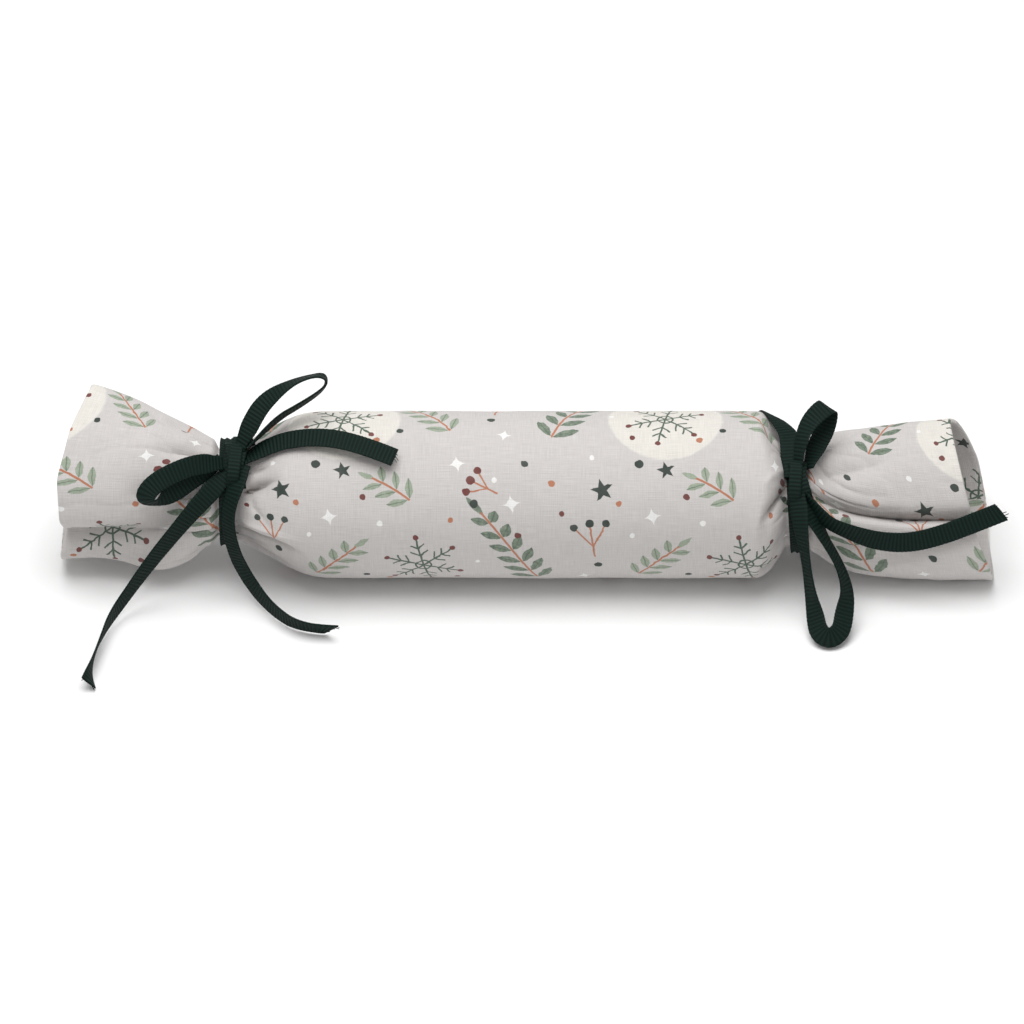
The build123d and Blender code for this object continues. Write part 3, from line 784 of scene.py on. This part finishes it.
def flare_folds(side, distances, reach, columns):
    """How far creases sink and puffs rise at each place past a neck."""
    shape = flares[side]
    count = len(shape["rim"])
    corner = np.linspace(0, count, columns, endpoint=False)[None]
    far = distances[:, None]
    rise = ramp(far, *folds_rise)
    folds = np.zeros((len(distances), columns))
    for at_neck, at_rim, depth, width, limit in shape["creases"]:
        gap = turn_gap(corner, at_neck + (at_rim - at_neck) * far / reach, count)
        fade = 1 - ramp(far, limit - fold_fade, limit)
        folds -= depth * np.exp(-np.abs(gap / width) ** fold_power) * rise * fade
    for place, width, distance, length, height in shape["puffs"]:
        gap = turn_gap(corner, place, count)
        folds += height * np.exp(-((gap / width) ** 2) - ((far - distance) / length) ** 2) * rise
    turn = np.linspace(0, 2 * math.pi, columns, endpoint=False)[None]
    small = wrinkles(turn, far, flare_seeds[side]) * ramp(far, *gathers_rise)
    return folds - gather_depth * small * (1 - gather_loss * ramp(far, *gathers_fade))


def flare_cloth(side):
    """Cloth past a neck: a shell from inside the neck, out to the folded rim, and back along its inside."""
    way = sides[side]
    reach = abs(flares[side]["rim_x"] - neck_x[side])
    distances = -root_depth + (reach + root_depth) * np.linspace(0, 1, flare_rows) ** row_power
    middle = flare_outlines(side, distances, reach)
    normal = outer_way(middle, way)[0]
    middle = middle + normal * flare_folds(side, distances, reach, middle.shape[1])[..., None]
    middle = finer(middle)
    distances = np.interp(np.arange(len(middle)) / 2, np.arange(flare_rows), distances)
    columns = middle.shape[1]
    normal, along = outer_way(middle, way)
    soft = softness(middle, flare_waves) * ramp(distances, *waves_rise)[:, None]
    middle = middle + normal * soft[..., None]

    hem = ramp(distances, reach - hem_width, reach - hem_width + hem_edge)[:, None]
    half = cloth_thickness / 2 * (1 + hem_swell * hem)[..., None]
    outer = middle + normal * half
    inner = middle - normal * half
    edge = []
    out = unit(along[-1])
    for k in range(1, rim_steps):
        angle = math.pi * k / rim_steps
        edge.append(middle[-1] + half[-1] * (normal[-1] * math.cos(angle) + out * math.sin(angle)))
    rings = np.concatenate([outer, np.array(edge), inner[::-1]])
    rings[..., 2] = np.maximum(rings[..., 2], rim_gap)

    rim = running(np.concatenate([middle[-1], middle[-1][:1]]))
    run = neck_x[side] + way * distances * print_stretch
    rows = np.concatenate([run, np.full(rim_steps - 1, run[-1]), run[::-1] + inside_print_shift])
    maps = np.zeros((len(rings), columns + 1, 2))
    maps[:, :, 0] = (rim / rim[-1] * cloth_round)[None] / map_unit
    maps[:, :, 1] = rows[:, None] / map_unit
    return ring_mesh(f"{side}_end_cloth", rings, maps, closed=True)


# Bands. Each bunch over the gathers: height, count round the neck, phase
band_clear = 0.0003
band_share = 0.72
band_slants = {"left": 0.0, "right": -0.0012}
band_pleat = 0.00028
band_pleats = 2.4
band_pleat_sway = 0.5
band_bunches = [(0.00012, 11, 0), (0.0001, 7, 1)]


def band_ribbon(side):
    """Ribbon round a neck, drawn tight over the gathers, which bunches it up."""
    radius = neck_radius[side] + band_clear + ribbon_thickness / 2
    rib_count = int(2 * math.pi * radius / rib_pitch)
    turn = np.linspace(0, 2 * math.pi, rib_count * rings_per_rib, endpoint=False)[:, None]
    places = turn[:, 0] / (2 * math.pi) * rib_count * rib_pitch
    section = ribbon_section()
    wide = section[None, :, 0]
    bunch = sum(height * np.sin(count * turn + phase) for height, count, phase in band_bunches)
    pleat = band_pleat * np.cos(band_pleats * math.pi * wide + band_pleat_sway * np.sin(2 * turn))
    half = ribs(places)[1]
    far = radius + band_pleat + pleat + bunch + half[:, None] * section[None, :, 1]
    x = neck_x[side] + band_slants[side] * np.sin(turn) + band_half * band_share * wide
    rings = around(x, far, neck_rise[side], np.degrees(turn))
    return ring_mesh(f"{side}_band_ribbon", rings, ribbon_map(section, places), closed=True)


# Knots. Each strap: place along the neck, lean, angles it spans, height, share of the ribbon's width
knot_straps = {
    "left": [
        (0.0030, -0.0014, 72, 140, 0.0052, 0.62), (0.0042, -0.0022, 74, 128, 0.0042, 0.76),
        (0.0026, 0.0010, 76, 136, 0.0031, 0.80), (0.0020, -0.0008, 80, 132, 0.0019, 0.84),
    ],
    "right": [
        (-0.0006, -0.0006, 106, 152, 0.0052, 0.62), (0.0010, 0.0022, 110, 148, 0.0042, 0.66),
        (0.0002, -0.0010, 106, 150, 0.0031, 0.76), (0.0004, 0.0008, 108, 148, 0.0019, 0.80),
    ],
}
strap_steps = 9
strap_power = 4
knot_clear = 0.0004
knot_tuck = 0.0012


def knot_ribbon(side):
    """Short turns of ribbon, one over the other, that hide where the loops and ends cross."""
    made = []
    seat = neck_radius[side] + knot_clear + ribbon_thickness
    for k, (offset, lean, low, high, height, share) in enumerate(knot_straps[side]):
        points = []
        for t in np.linspace(-1, 1, strap_steps):
            turn = math.radians((low + high) / 2 + t * (high - low) / 2)
            far = seat - knot_tuck + (height + knot_tuck) * (1 - t**strap_power)
            x = neck_x[side] + offset + lean * t
            z = axis_height + neck_rise[side] + far * math.sin(turn)
            points.append(Vector((x, far * math.cos(turn), z)))
        places, (line,) = spaced(spline_points(points))
        width = np.broadcast_to(np.array([1.0, 0.0, 0.0]), line.shape)
        made.append(ribbon_mesh(f"{side}_knot_{k}", line, width, places, np.full(len(line), share)))
    return join(f"{side}_knot_ribbon", made)


cloth_barrel = barrel_cloth()
cloth_ends = {side: flare_cloth(side) for side in sides}
bands = {side: band_ribbon(side) for side in sides}
knot_pieces = {side: knot_ribbon(side) for side in sides}


# Materials
class Value:
    """A number or colour in a material's nodes. Arithmetic on it adds the nodes that work it out."""

    def __init__(self, tree, socket):
        self.tree = tree
        self.socket = socket

    def calc(self, operation, *others):
        inputs = dict(enumerate((self, *others)))
        return new_node(self.tree, "ShaderNodeMath", inputs, operation=operation)

    def __add__(self, other):
        return self.calc("ADD", other)

    def __sub__(self, other):
        return self.calc("SUBTRACT", other)

    def __rsub__(self, other):
        return new_node(self.tree, "ShaderNodeMath", {0: other, 1: self}, operation="SUBTRACT")

    def __mul__(self, other):
        return self.calc("MULTIPLY", other)

    def __truediv__(self, other):
        return self.calc("DIVIDE", other)

    def __mod__(self, other):
        return self.calc("MODULO", other)

    def __pow__(self, power):
        return self.calc("POWER", power)

    def __abs__(self):
        return self.calc("ABSOLUTE")

    def mix(self, a, b):
        """Colour a where this mask is 0, colour b where it is 1."""
        inputs = {"Factor": self, "A": a, "B": b}
        return new_node(self.tree, "ShaderNodeMix", inputs, "Result", data_type="RGBA")

    def shaded(self, shade):
        """This colour, darkened by a shade."""
        inputs = {"Factor": 1.0, "A": self, "B": vector(shade, shade, shade)}
        settings = {"data_type": "RGBA", "blend_type": "MULTIPLY"}
        return new_node(self.tree, "ShaderNodeMix", inputs, "Result", **settings)


def plug(tree, sockets, inputs):
    """Link values to sockets, or set the sockets to plain numbers and colours."""
    for key, value in inputs.items():
        if isinstance(value, Value):
            tree.links.new(value.socket, sockets[key])
        else:
            sockets[key].default_value = value


def new_node(tree, kind, inputs, output=0, **settings):
    """One output of a new node, as a value."""
    node = tree.nodes.new(kind)
    for name, setting in settings.items():
        setattr(node, name, setting)
    plug(tree, node.inputs, inputs)
    return Value(tree, node.outputs[output])


def material(name):
    """A new material and its nodes."""
    made = bpy.data.materials.new(name)
    made.use_nodes = True
    return made, made.node_tree


def set_shader(tree, settings):
    plug(tree, tree.nodes["Principled BSDF"].inputs, settings)


def parts(vector):
    """The three coordinates of a vector."""
    node = vector.tree.nodes.new("ShaderNodeSeparateXYZ")
    plug(vector.tree, node.inputs, {0: vector})
    return [Value(vector.tree, socket) for socket in node.outputs]


def print_map(tree):
    """The two coordinates of a mesh's map."""
    return parts(new_node(tree, "ShaderNodeUVMap", {}, uv_map="print"))[:2]


def rest_place(tree):
    """The place of a point on a piece at rest, in metres."""
    return parts(new_node(tree, "ShaderNodeTexCoord", {}, "Object"))


def vector(x, y, z=0.0):
    return new_node(x.tree, "ShaderNodeCombineXYZ", {0: x, 1: y, 2: z})


def cloud(place, scale, detail=2.0):
    """Soft noise from 0 to 1."""
    inputs = {"Vector": place, "Scale": scale, "Detail": detail}
    return new_node(place.tree, "ShaderNodeTexNoise", inputs, "Fac")


def bump(height, strength, distance):
    inputs = {"Height": height, "Strength": strength, "Distance": distance}
    return new_node(height.tree, "ShaderNodeBump", inputs)


def hypot(x, y):
    return (x * x + y * y).calc("SQRT")


def most(first, *others):
    """The greatest of several masks."""
    for other in others:
        first = first.calc("MAXIMUM", other)
    return first


def turned(x, y, degrees):
    """The coordinates seen from axes that are turned by an angle: y then points that far right of up."""
    c = math.cos(math.radians(degrees))
    s = math.sin(math.radians(degrees))
    return x * c - y * s, x * s + y * c


def placed(x, y, place, degrees=0.0):
    return turned(x - place[0], y - place[1], degrees)


# Colours of the print
ground = (0.552, 0.526, 0.512, 1)
cream = (0.690, 0.665, 0.615, 1)
white = (0.800, 0.795, 0.780, 1)
sage = (0.235, 0.290, 0.215, 1)
pale_sage = (0.340, 0.390, 0.300, 1)
leaf_green = (0.060, 0.100, 0.068, 1)
deep_green = (0.014, 0.030, 0.023, 1)
copper = (0.430, 0.165, 0.085, 1)
maroon = (0.140, 0.030, 0.024, 1)

# Print: one repeat of it, in millimetres, as seen with the cracker lying as in the view
repeat_across = 1000 * cloth_round / 3
repeat_along = 96.0
print_shift = 2 * repeat_across - 13.0
dots = {
    "deep": [((-3, 8), 1.25), ((-40, -14), 1.2), ((44, 20), 1.3), ((-18, 20), 1.0), ((29, -20), 1.0)],
    "maroon": [((-16, -2), 1.0), ((30, 10), 0.9), ((-29, 5), 0.8), ((2, -23), 0.9)],
    "copper": [((-26, 14), 1.0), ((4, 3), 0.9), ((22, -24), 1.0), ((-46, 8), 0.9)],
    "white": [((-9, 15), 0.8), ((25, 2), 0.9), ((-38, 22), 0.8), ((-4, -12), 0.7), ((46, -2), 0.8)],
}
sparkles = [((-14, 8), 3.2), ((40, 4), 3.0), ((2, 20), 2.8), ((-36, -22), 2.6)]
stars = [((-41, 12), 3.6), ((36, 18), 2.8)]
sprigs = [
    ((-22, -23), 20, 6, 5.6, 8.6, 0.006, "dark"),
    ((44, -20), -32, 4, 4.8, 7.2, -0.008, "pale"),
    ((16, 9), 52, 3, 4.6, 6.6, 0.010, "pale"),
]
twigs = [((-39, -10), 8, 12.0, "deep"), ((-10, 11), 64, 9.0, "maroon")]
flake_place = (12, -14)
flake_radius = 11.0
roundel_radius = 17.0

# Strokes of the print, in millimetres, turns in degrees, and shares of a motif's size
soft_edge = 0.12
roundel_edge = 0.8
spark_edge = 0.1
stem_half = 0.34
vein_half = 0.16
twig_half = 0.28
fork_half = 0.24
arm_half = 0.30
barb_half = 0.26
leaf_gap = 0.5
leaf_turn = 48
leaf_shrink = 0.09
leaf_half = 0.165
top_leaf_length = 0.8
top_leaf_half = 0.13
top_leaf_back = 0.4
stem_back = 0.2
fork_start = 0.35
fork_reach = 0.72
fork_turn = 34
fork_berry = 1.15
top_berry = 1.3
flake_turn = 12
flake_arms = 6
flake_barbs = [(0.40, 0.30), (0.66, 0.24)]
barb_turn = 52
flake_ring = 0.2
ring_half = 0.28
bead_gap = 0.5
bead_radius = 0.85
spark_power = 0.55
spark_turn = 10
star_turn = 14
star_arms = 5
star_waist = 0.42

# Cotton: where its print starts, how that wavers, tints and fades, its slubs and its weave
print_start = 400.0
waver_scale = 0.5
waver_reach = 0.9
tint_scale = 0.9
dark_level = 0.5
dark_edge = 0.5
pale_level = 0.52
pale_edge = 0.6
vein_share = 0.6
fade_scale = 0.22
fade_share = 0.16
slub_fine = 4.2
slub_long = 0.16
slub_share = 0.30
slub_base = 0.70
warp_pitch = 0.52
weft_pitch = 0.56
weave_height = 0.12

# Grain of the other materials: how far it is stretched, how fine it is, and its shares
rib_threads = (22.0, 1.5)
rib_patches = (0.8, 0.14)
# Share of the painted light on the rib crests and the painted shade between them, against the threads' own
# tone
crest_shading_share = 0.62
patch_share = 0.35
thread_relief = 0.5
fibre_stretch = 0.2
fibre_share = 0.7
flecks_per_fibre = 3
card_stretch = 0.3
card_fineness = 600.0
seam_share = 0.6
wood_stretch = 0.15
wood_fineness = 900.0
lathe_stretch = 0.1
lathe_fineness = 4000.0
grain_share = 0.75


def mask(depth, edge=soft_edge):
    """Mask of a shape, from the depth inside it, with a soft edge."""
    inputs = {0: depth, 1: 1 / edge, 2: 0.5}
    return new_node(depth.tree, "ShaderNodeMath", inputs, operation="MULTIPLY_ADD", use_clamp=True)


def leaf(across, along, length, half_width):
    """Depth inside a pointed leaf that grows along its own axis."""
    t = along / length
    return t * (1.0 - t) * (4 * half_width) - abs(across)


def rod(across, along, length, half_width):
    """Depth inside a thin straight stroke from the origin."""
    middle = length / 2 - abs(along - length / 2)
    return (half_width - abs(across)).calc("MINIMUM", middle)


def disc(x, y, radius):
    return radius - hypot(x, y)


def sprig(x, y, pairs, spacing, leaf_length, bend):
    """Masks of a stem, of its paired leaves and of their veins."""
    x = x - y * y * bend
    pair = (y / spacing).calc("FLOOR").calc("MAXIMUM", 0.0).calc("MINIMUM", pairs - 1.0)
    across, along = turned(abs(x), y - pair * spacing, leaf_turn)
    size = leaf_length - pair * (leaf_shrink * leaf_length)
    leaves = leaf(across, along - leaf_gap, size, leaf_half * leaf_length)
    top_place = y - (pairs - top_leaf_back) * spacing
    top = leaf(x, top_place, top_leaf_length * leaf_length, top_leaf_half * leaf_length)
    vein = mask(vein_half - abs(across))
    stem = mask(rod(x, y, (pairs - stem_back) * spacing, stem_half))
    return stem, most(mask(leaves), mask(top)), vein


def berry_twig(x, y, length):
    """Masks of a forked twig and of its berries."""
    across, along = turned(abs(x), y - fork_start * length, fork_turn)
    reach = fork_reach * length
    fork = mask(rod(across, along, reach, fork_half))
    stem = mask(rod(x, y, length, twig_half))
    fork_end = mask(disc(across, along - reach, fork_berry))
    top = mask(disc(x, y - length, top_berry))
    return most(fork, stem), most(fork_end, top)


def nearest_arm(far, turn, arms):
    """Places along and off the nearest of a figure's arms. turn counts the arms."""
    angle = abs(turn.calc("FRACT") - 0.5) * (2 * math.pi / arms)
    return far * angle.calc("COSINE"), far * angle.calc("SINE")


def snowflake(x, y, radius):
    """Masks of a plain six-armed flake's strokes and of its beads."""
    far = hypot(x, y)
    turn = y.calc("ARCTAN2", x) * (flake_arms / (2 * math.pi))
    along, off = nearest_arm(far, turn, flake_arms)
    strokes = [rod(off, along, radius, arm_half)]
    for start, reach in flake_barbs:
        across, out = turned(off, along - start * radius, barb_turn)
        strokes.append(rod(across, out, reach * radius, barb_half))
    strokes.append(ring_half - abs(far - flake_ring * radius))
    bead = disc(off, along - (radius + bead_gap), bead_radius)
    return most(*[mask(stroke) for stroke in strokes]), mask(bead)


def sparkle(x, y, radius):
    """Mask of a four-pointed spark."""
    reach = abs(x) ** spark_power + abs(y) ** spark_power
    return mask(radius**spark_power - reach, spark_edge)


def star(x, y, radius):
    """Mask of a plain five-pointed star."""
    turn = x.calc("ARCTAN2", y) * (star_arms / (2 * math.pi)) + 0.5
    along, off = nearest_arm(hypot(x, y), turn, star_arms)
    waist = star_waist * radius
    half_arm = math.pi / star_arms
    edge = Vector((waist * math.cos(half_arm) - radius, waist * math.sin(half_arm))).normalized()
    return mask((radius - along) * edge.y - off * -edge.x)


def printed(u, v, flat):
    """Colour of a winter pattern, whose repeat is mirrored in every other column."""
    drift = (cloud(flat, waver_scale) - 0.5) * waver_reach
    column = (u / repeat_across).calc("FLOOR")
    odd = column % 2.0
    up = (column + 0.5) * repeat_across - u + drift
    shifted = v + print_start + odd * (repeat_along / 2)
    right = (shifted % repeat_along - repeat_along / 2) * (1.0 - odd * 2.0) + drift

    roundel = mask(disc(*placed(right, up, flake_place), roundel_radius), roundel_edge)
    next_place = (repeat_along / 2 - flake_place[0], repeat_across + flake_place[1])
    overhang = mask(disc(*placed(right, up, next_place), roundel_radius), roundel_edge)
    colour = (roundel * (1.0 - odd) + overhang * odd).mix(ground, cream)
    strokes, beads = snowflake(*placed(right, up, flake_place, flake_turn), flake_radius)
    colour = beads.mix(strokes.mix(colour, leaf_green), maroon)
    tint = cloud(flat, tint_scale, detail=4.0)
    tones = {
        "dark": mask(tint - dark_level, dark_edge).mix(sage, leaf_green),
        "pale": mask(tint - pale_level, pale_edge).mix(pale_sage, sage),
    }
    for place, degrees, pairs, spacing, leaf_length, bend, tone in sprigs:
        own = placed(right, up, place, degrees)
        stem, leaves, vein = sprig(*own, pairs, spacing, leaf_length, bend)
        colour = leaves.mix(colour, (vein * vein_share).mix(tones[tone], leaf_green))
        colour = stem.mix(colour, copper)
    inks = {"deep": deep_green, "maroon": maroon, "copper": copper, "white": white}
    for place, degrees, length, ink in twigs:
        twig, berries = berry_twig(*placed(right, up, place, degrees), length)
        colour = berries.mix(twig.mix(colour, copper), inks[ink])
    for ink, places in dots.items():
        masks = [mask(disc(*placed(right, up, place), radius)) for place, radius in places]
        colour = most(*masks).mix(colour, inks[ink])
    masks = [sparkle(*placed(right, up, place, spark_turn), radius) for place, radius in sparkles]
    colour = most(*masks).mix(colour, white)
    masks = [star(*placed(right, up, place, star_turn), radius) for place, radius in stars]
    return most(*masks).mix(colour, deep_green)


def cotton():
    """Slubbed cotton with a printed pattern, a little faded."""
    made, tree = material("printed_cotton")
    round_map, along_map = print_map(tree)
    u = round_map * (1000 * map_unit) + print_shift
    v = along_map * (1000 * map_unit)
    flat = vector(u, v)
    warp = cloud(vector(u * slub_fine, v * slub_long), 1.0)
    weft = cloud(vector(u * slub_long, v * slub_fine), 1.0)
    fade = cloud(flat, fade_scale, detail=3.0) * fade_share
    worn = fade.mix(printed(u, v, flat), ground)
    slub = (warp + weft) * slub_share + slub_base
    weave = (u * (2 * math.pi / warp_pitch)).calc("SINE") + (v * (2 * math.pi / weft_pitch)).calc("SINE")
    height = weave * weave_height + (warp + weft)
    set_shader(tree, {
        "Base Color": worn.shaded(slub),
        "Normal": bump(height, strength=0.35, distance=0.0004),
        "Roughness": 0.92,
        "Specular IOR Level": 0.2,
        "Sheen Weight": 0.12,
        "Sheen Roughness": 0.5,
    })
    return made


def grosgrain():
    """Dark green ribbon with fine threads, with painted light on the rib crests and painted shade between the
    ribs.
    """
    made, tree = material("grosgrain")
    across, rib = print_map(tree)
    crest = (rib * (2 * math.pi)).calc("COSINE") * 0.5 + 0.5
    threads = cloud(vector(across * rib_threads[0], rib * rib_threads[1]), 1.0)
    patch = cloud(vector(across * rib_patches[0], rib * rib_patches[1]), 1.0)
    # Painted light and shade: the crests of the ribs are coloured lighter and the hollows between them
    # darker, mixed with the threads' own tone
    colour = (crest * crest_shading_share + threads * (1 - crest_shading_share)).mix(ribbon_dark_and_shaded, ribbon_pale_and_lit)
    set_shader(tree, {
        "Base Color": (patch * patch_share).mix(colour, ribbon_worn),
        "Normal": bump(crest + threads * thread_relief, strength=0.3, distance=0.00015),
        "Roughness": 0.65,
        "Specular IOR Level": 0.12,
    })
    return made


def fibrous(name, dark, pale, size, roughness):
    """Card or paper: two tones, mixed by fibres that lie along it."""
    made, tree = material(name)
    x, y, z = rest_place(tree)
    fibre = cloud(vector(x * fibre_stretch, y, z), 1 / size, detail=4.0)
    fleck = cloud(vector(x, y, z), flecks_per_fibre / size)
    tone = fibre * fibre_share + fleck * (1 - fibre_share)
    set_shader(tree, {
        "Base Color": tone.mix(dark, pale),
        "Normal": bump(tone, strength=0.3, distance=0.0002),
        "Roughness": roughness,
    })
    return made


def wound_card():
    """Grey-brown card with the seam of the strip it was wound from."""
    made, tree = material("wound_card")
    x, y, z = rest_place(tree)
    turn = (z - axis_height).calc("ARCTAN2", y) * (1 / (2 * math.pi))
    wind = ((x + 1.0) / card_strip + turn).calc("FRACT")
    seam = mask(seam_half - abs(wind - 0.5), seam_half)
    fibre = cloud(vector(x * card_stretch, y, z), card_fineness, detail=4.0)
    set_shader(tree, {
        "Base Color": (seam * seam_share).mix(fibre.mix(card_dark, card_pale), card_seam),
        "Normal": bump(fibre - seam, strength=0.4, distance=0.0002),
        "Roughness": 0.85,
    })
    return made


def turned_wood():
    """Pale turned wood with two painted rings."""
    made, tree = material("turned_wood")
    x, y, z = rest_place(tree)
    low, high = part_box("spinning_top")
    far = hypot(y, z - (low[2] + high[2]) / 2)
    grain = cloud(vector(x * wood_stretch, y, z), wood_fineness, detail=3.0)
    lathe = cloud(vector(x, far * lathe_stretch), lathe_fineness)
    colour = (grain * grain_share + lathe * (1 - grain_share)).mix(wood_dark, wood_pale)
    for place, half, paint in painted_rings:
        colour = mask(half - abs(x - (low[0] + place)), paint_edge).mix(colour, paint)
    set_shader(tree, {
        "Base Color": colour,
        "Normal": bump(lathe, strength=0.15, distance=0.0001),
        "Roughness": 0.45,
    })
    return made


# Inside pieces: the rolled papers follow the rolls of the model
paper_thickness = 0.0002
paper_wave = 0.00012
paper_wave_along = 180
paper_wave_round = 5
roll_pitch = 0.0012
roll_start = 0.00025
roll_clear = 0.0005
roll_stations_per_turn = 96
roll_points = 24
crown_core = 0.0034
crown_turns = 2.5
crown_tooth = 0.012
crown_tooth_depth = 0.011
motto_core = 0.0020
motto_turns = 1.0


def rolled_paper(name, node, core, turns, tooth_depth):
    """A sheet of paper rolled up where its node is, with one edge toothed if it has a tooth depth."""
    low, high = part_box(node)
    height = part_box("paper_crown")[0][2] + crown_core + (crown_turns - 1) * roll_pitch + roll_clear
    count = round(turns * roll_stations_per_turn)
    turn = np.linspace(0, turns, count)
    radius = core + roll_start + roll_pitch * turn
    run = np.concatenate([[0], np.cumsum(2 * math.pi * (radius[1:] + radius[:-1]) / 2 * np.diff(turn))])
    tooth = np.abs((run / crown_tooth) % 1 - 0.5) * 2
    ends = high[0] - tooth_depth * tooth
    shares = np.linspace(0, 1, roll_points)
    x = low[0] + (ends[:, None] - low[0]) * shares[None]
    wave = paper_wave * np.sin(x * paper_wave_along + turn[:, None] * paper_wave_round)
    faces = []
    for side in (0.5, -0.5):
        far = radius[:, None] + wave + side * paper_thickness
        y = far * np.cos(2 * math.pi * turn)[:, None]
        z = height + far * np.sin(2 * math.pi * turn)[:, None]
        faces.append(np.stack([x, y, z], -1))
    rings = np.concatenate([faces[0], faces[1][:, ::-1]], 1)
    maps = np.zeros((count, rings.shape[1] + 1, 2))
    made = ring_mesh(name, rings, maps, closed=False)
    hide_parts(node)
    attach(made, "crown")
    return made, run[-1]


crown, crown_run = rolled_paper("crown_paper", "paper_crown", crown_core, crown_turns, crown_tooth_depth)
motto, motto_run = rolled_paper("motto_paper", "motto_slip", motto_core, motto_turns, 0.0)

# Finishes. Each card or paper: dark tone, pale tone, size of its fibres, roughness
card_strip = 0.045
seam_half = 0.006
card_dark = (0.30, 0.225, 0.155, 1)
card_pale = (0.46, 0.37, 0.27, 1)
card_seam = (0.16, 0.115, 0.075, 1)
wood_dark = (0.42, 0.25, 0.12, 1)
wood_pale = (0.68, 0.48, 0.28, 1)
painted_rings = [(0.0075, 0.0010, (0.32, 0.03, 0.03, 1)), (0.0110, 0.0008, (0.02, 0.10, 0.05, 1))]
paint_edge = 0.0001
# The ribbon's dark and pale colours hold the painted shade between the ribs and the painted light on their
# crests, as well as the threads' own tone
ribbon_dark_and_shaded = (0.0012, 0.0036, 0.0028, 1)
ribbon_pale_and_lit = (0.0075, 0.024, 0.018, 1)
ribbon_worn = (0.005, 0.013, 0.011, 1)
papers = {
    "tissue_paper": ((0.40, 0.055, 0.045, 1), (0.60, 0.115, 0.085, 1), 0.004, 0.8),
    "motto_paper": ((0.70, 0.68, 0.62, 1), (0.84, 0.83, 0.79, 1), 0.003, 0.75),
    "friction_coat": ((0.030, 0.018, 0.014, 1), (0.085, 0.050, 0.036, 1), 0.0006, 0.95),
    "snap_paper": ((0.36, 0.27, 0.18, 1), (0.52, 0.42, 0.30, 1), 0.002, 0.85),
    "snap_card": ((0.44, 0.40, 0.34, 1), (0.60, 0.56, 0.49, 1), 0.002, 0.8),
}
finishes = {slot: fibrous(slot, *paper) for slot, paper in papers.items()}
finishes["card"] = wound_card()
finishes["turned_wood"] = turned_wood()
finishes["printed_cotton"] = cotton()
finishes["grosgrain_ribbon"] = grosgrain()
finished = {
    "tissue_paper": [crown],
    "motto_paper": [motto],
    "card": [nodes["card_tube"]],
    "turned_wood": [nodes["spinning_top"]],
    "friction_coat": [nodes["snap_friction_pad"]],
    "snap_paper": [nodes["snap_paper_band"]],
    "snap_card": [nodes["snap_strip_left"], nodes["snap_strip_right"]],
    "printed_cotton": [cloth_barrel, *cloth_ends.values()],
    "grosgrain_ribbon": [*ribbons.values(), *bands.values(), *knot_pieces.values()],
}
for slot, pieces in finished.items():
    for piece in pieces:
        piece.data.materials.clear()
        piece.data.materials.append(finishes[slot])

# What rides on what, the flared end beside each of the pieces near the ends, and two distances past a tie for
# them, which are not used: these pieces are not turned with the end
cloth_bend = (0.0, 0.010)
strand_bend = (0.002, 0.016)
bending = {"left_bow_front_loop": "left", "left_bow_long_tail": "left", "right_bow_long_tail": "right"}


def bend_with_end(piece, side, near, far):
    """Bake a piece's place into its mesh. The start and end worked out from the two distances past the tie
    are not used, so the piece is not blended toward the flared end.
    """
    start = (neck_x[side] + sides[side] * near, 0, axis_height)
    end = (neck_x[side] + sides[side] * far, 0, axis_height)
    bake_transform(piece)


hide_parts("wrap_barrel")
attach(cloth_barrel, "barrel")
for side, piece in cloth_ends.items():
    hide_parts(f"wrap_{side}_end")
    bend_with_end(piece, side, *cloth_bend)
for side in sides:
    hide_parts(f"{side}_ribbon_band")
    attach(bands[side], "barrel")
    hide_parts(f"{side}_ribbon_knot")
    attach(knot_pieces[side], "barrel")
for name, piece in ribbons.items():
    if name in bending:
        bend_with_end(piece, bending[name], *strand_bend)
    else:
        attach(piece, "barrel")

# Floor and light
floor_half = 3
floor_colour = (0.9, 0.9, 0.9, 1)
floor_roughness = 0.9
sky_colour = (1, 1, 1, 1)
sky_strength = 0.50
lamp_size = 0.9
lamp_energy = 9.5
lamp_place = (-0.10, -0.05, 1.0)

floor_corners = [(floor_half * x, floor_half * y, 0) for x, y in ((-1, -1), (1, -1), (1, 1), (-1, 1))]
floor_mesh = bpy.data.meshes.new("floor")
floor_mesh.from_pydata(floor_corners, [], [(0, 1, 2, 3)])
floor = new_object("floor", floor_mesh)
floor_finish, floor_tree = material("floor")
set_shader(floor_tree, {"Base Color": floor_colour, "Roughness": floor_roughness})
floor.data.materials.append(floor_finish)

world = bpy.data.worlds.new("world")
bpy.context.scene.world = world
world.use_nodes = True
sky = world.node_tree.nodes["Background"]
plug(world.node_tree, sky.inputs, {"Color": sky_colour, "Strength": sky_strength})
lamp_data = bpy.data.lights.new("overhead", "AREA")
lamp_data.shape = "DISK"
lamp_data.size = lamp_size
lamp_data.energy = lamp_energy
lamp = new_object("overhead", lamp_data)
lamp.location = lamp_place

bpy.context.scene.view_settings.view_transform = "Standard"
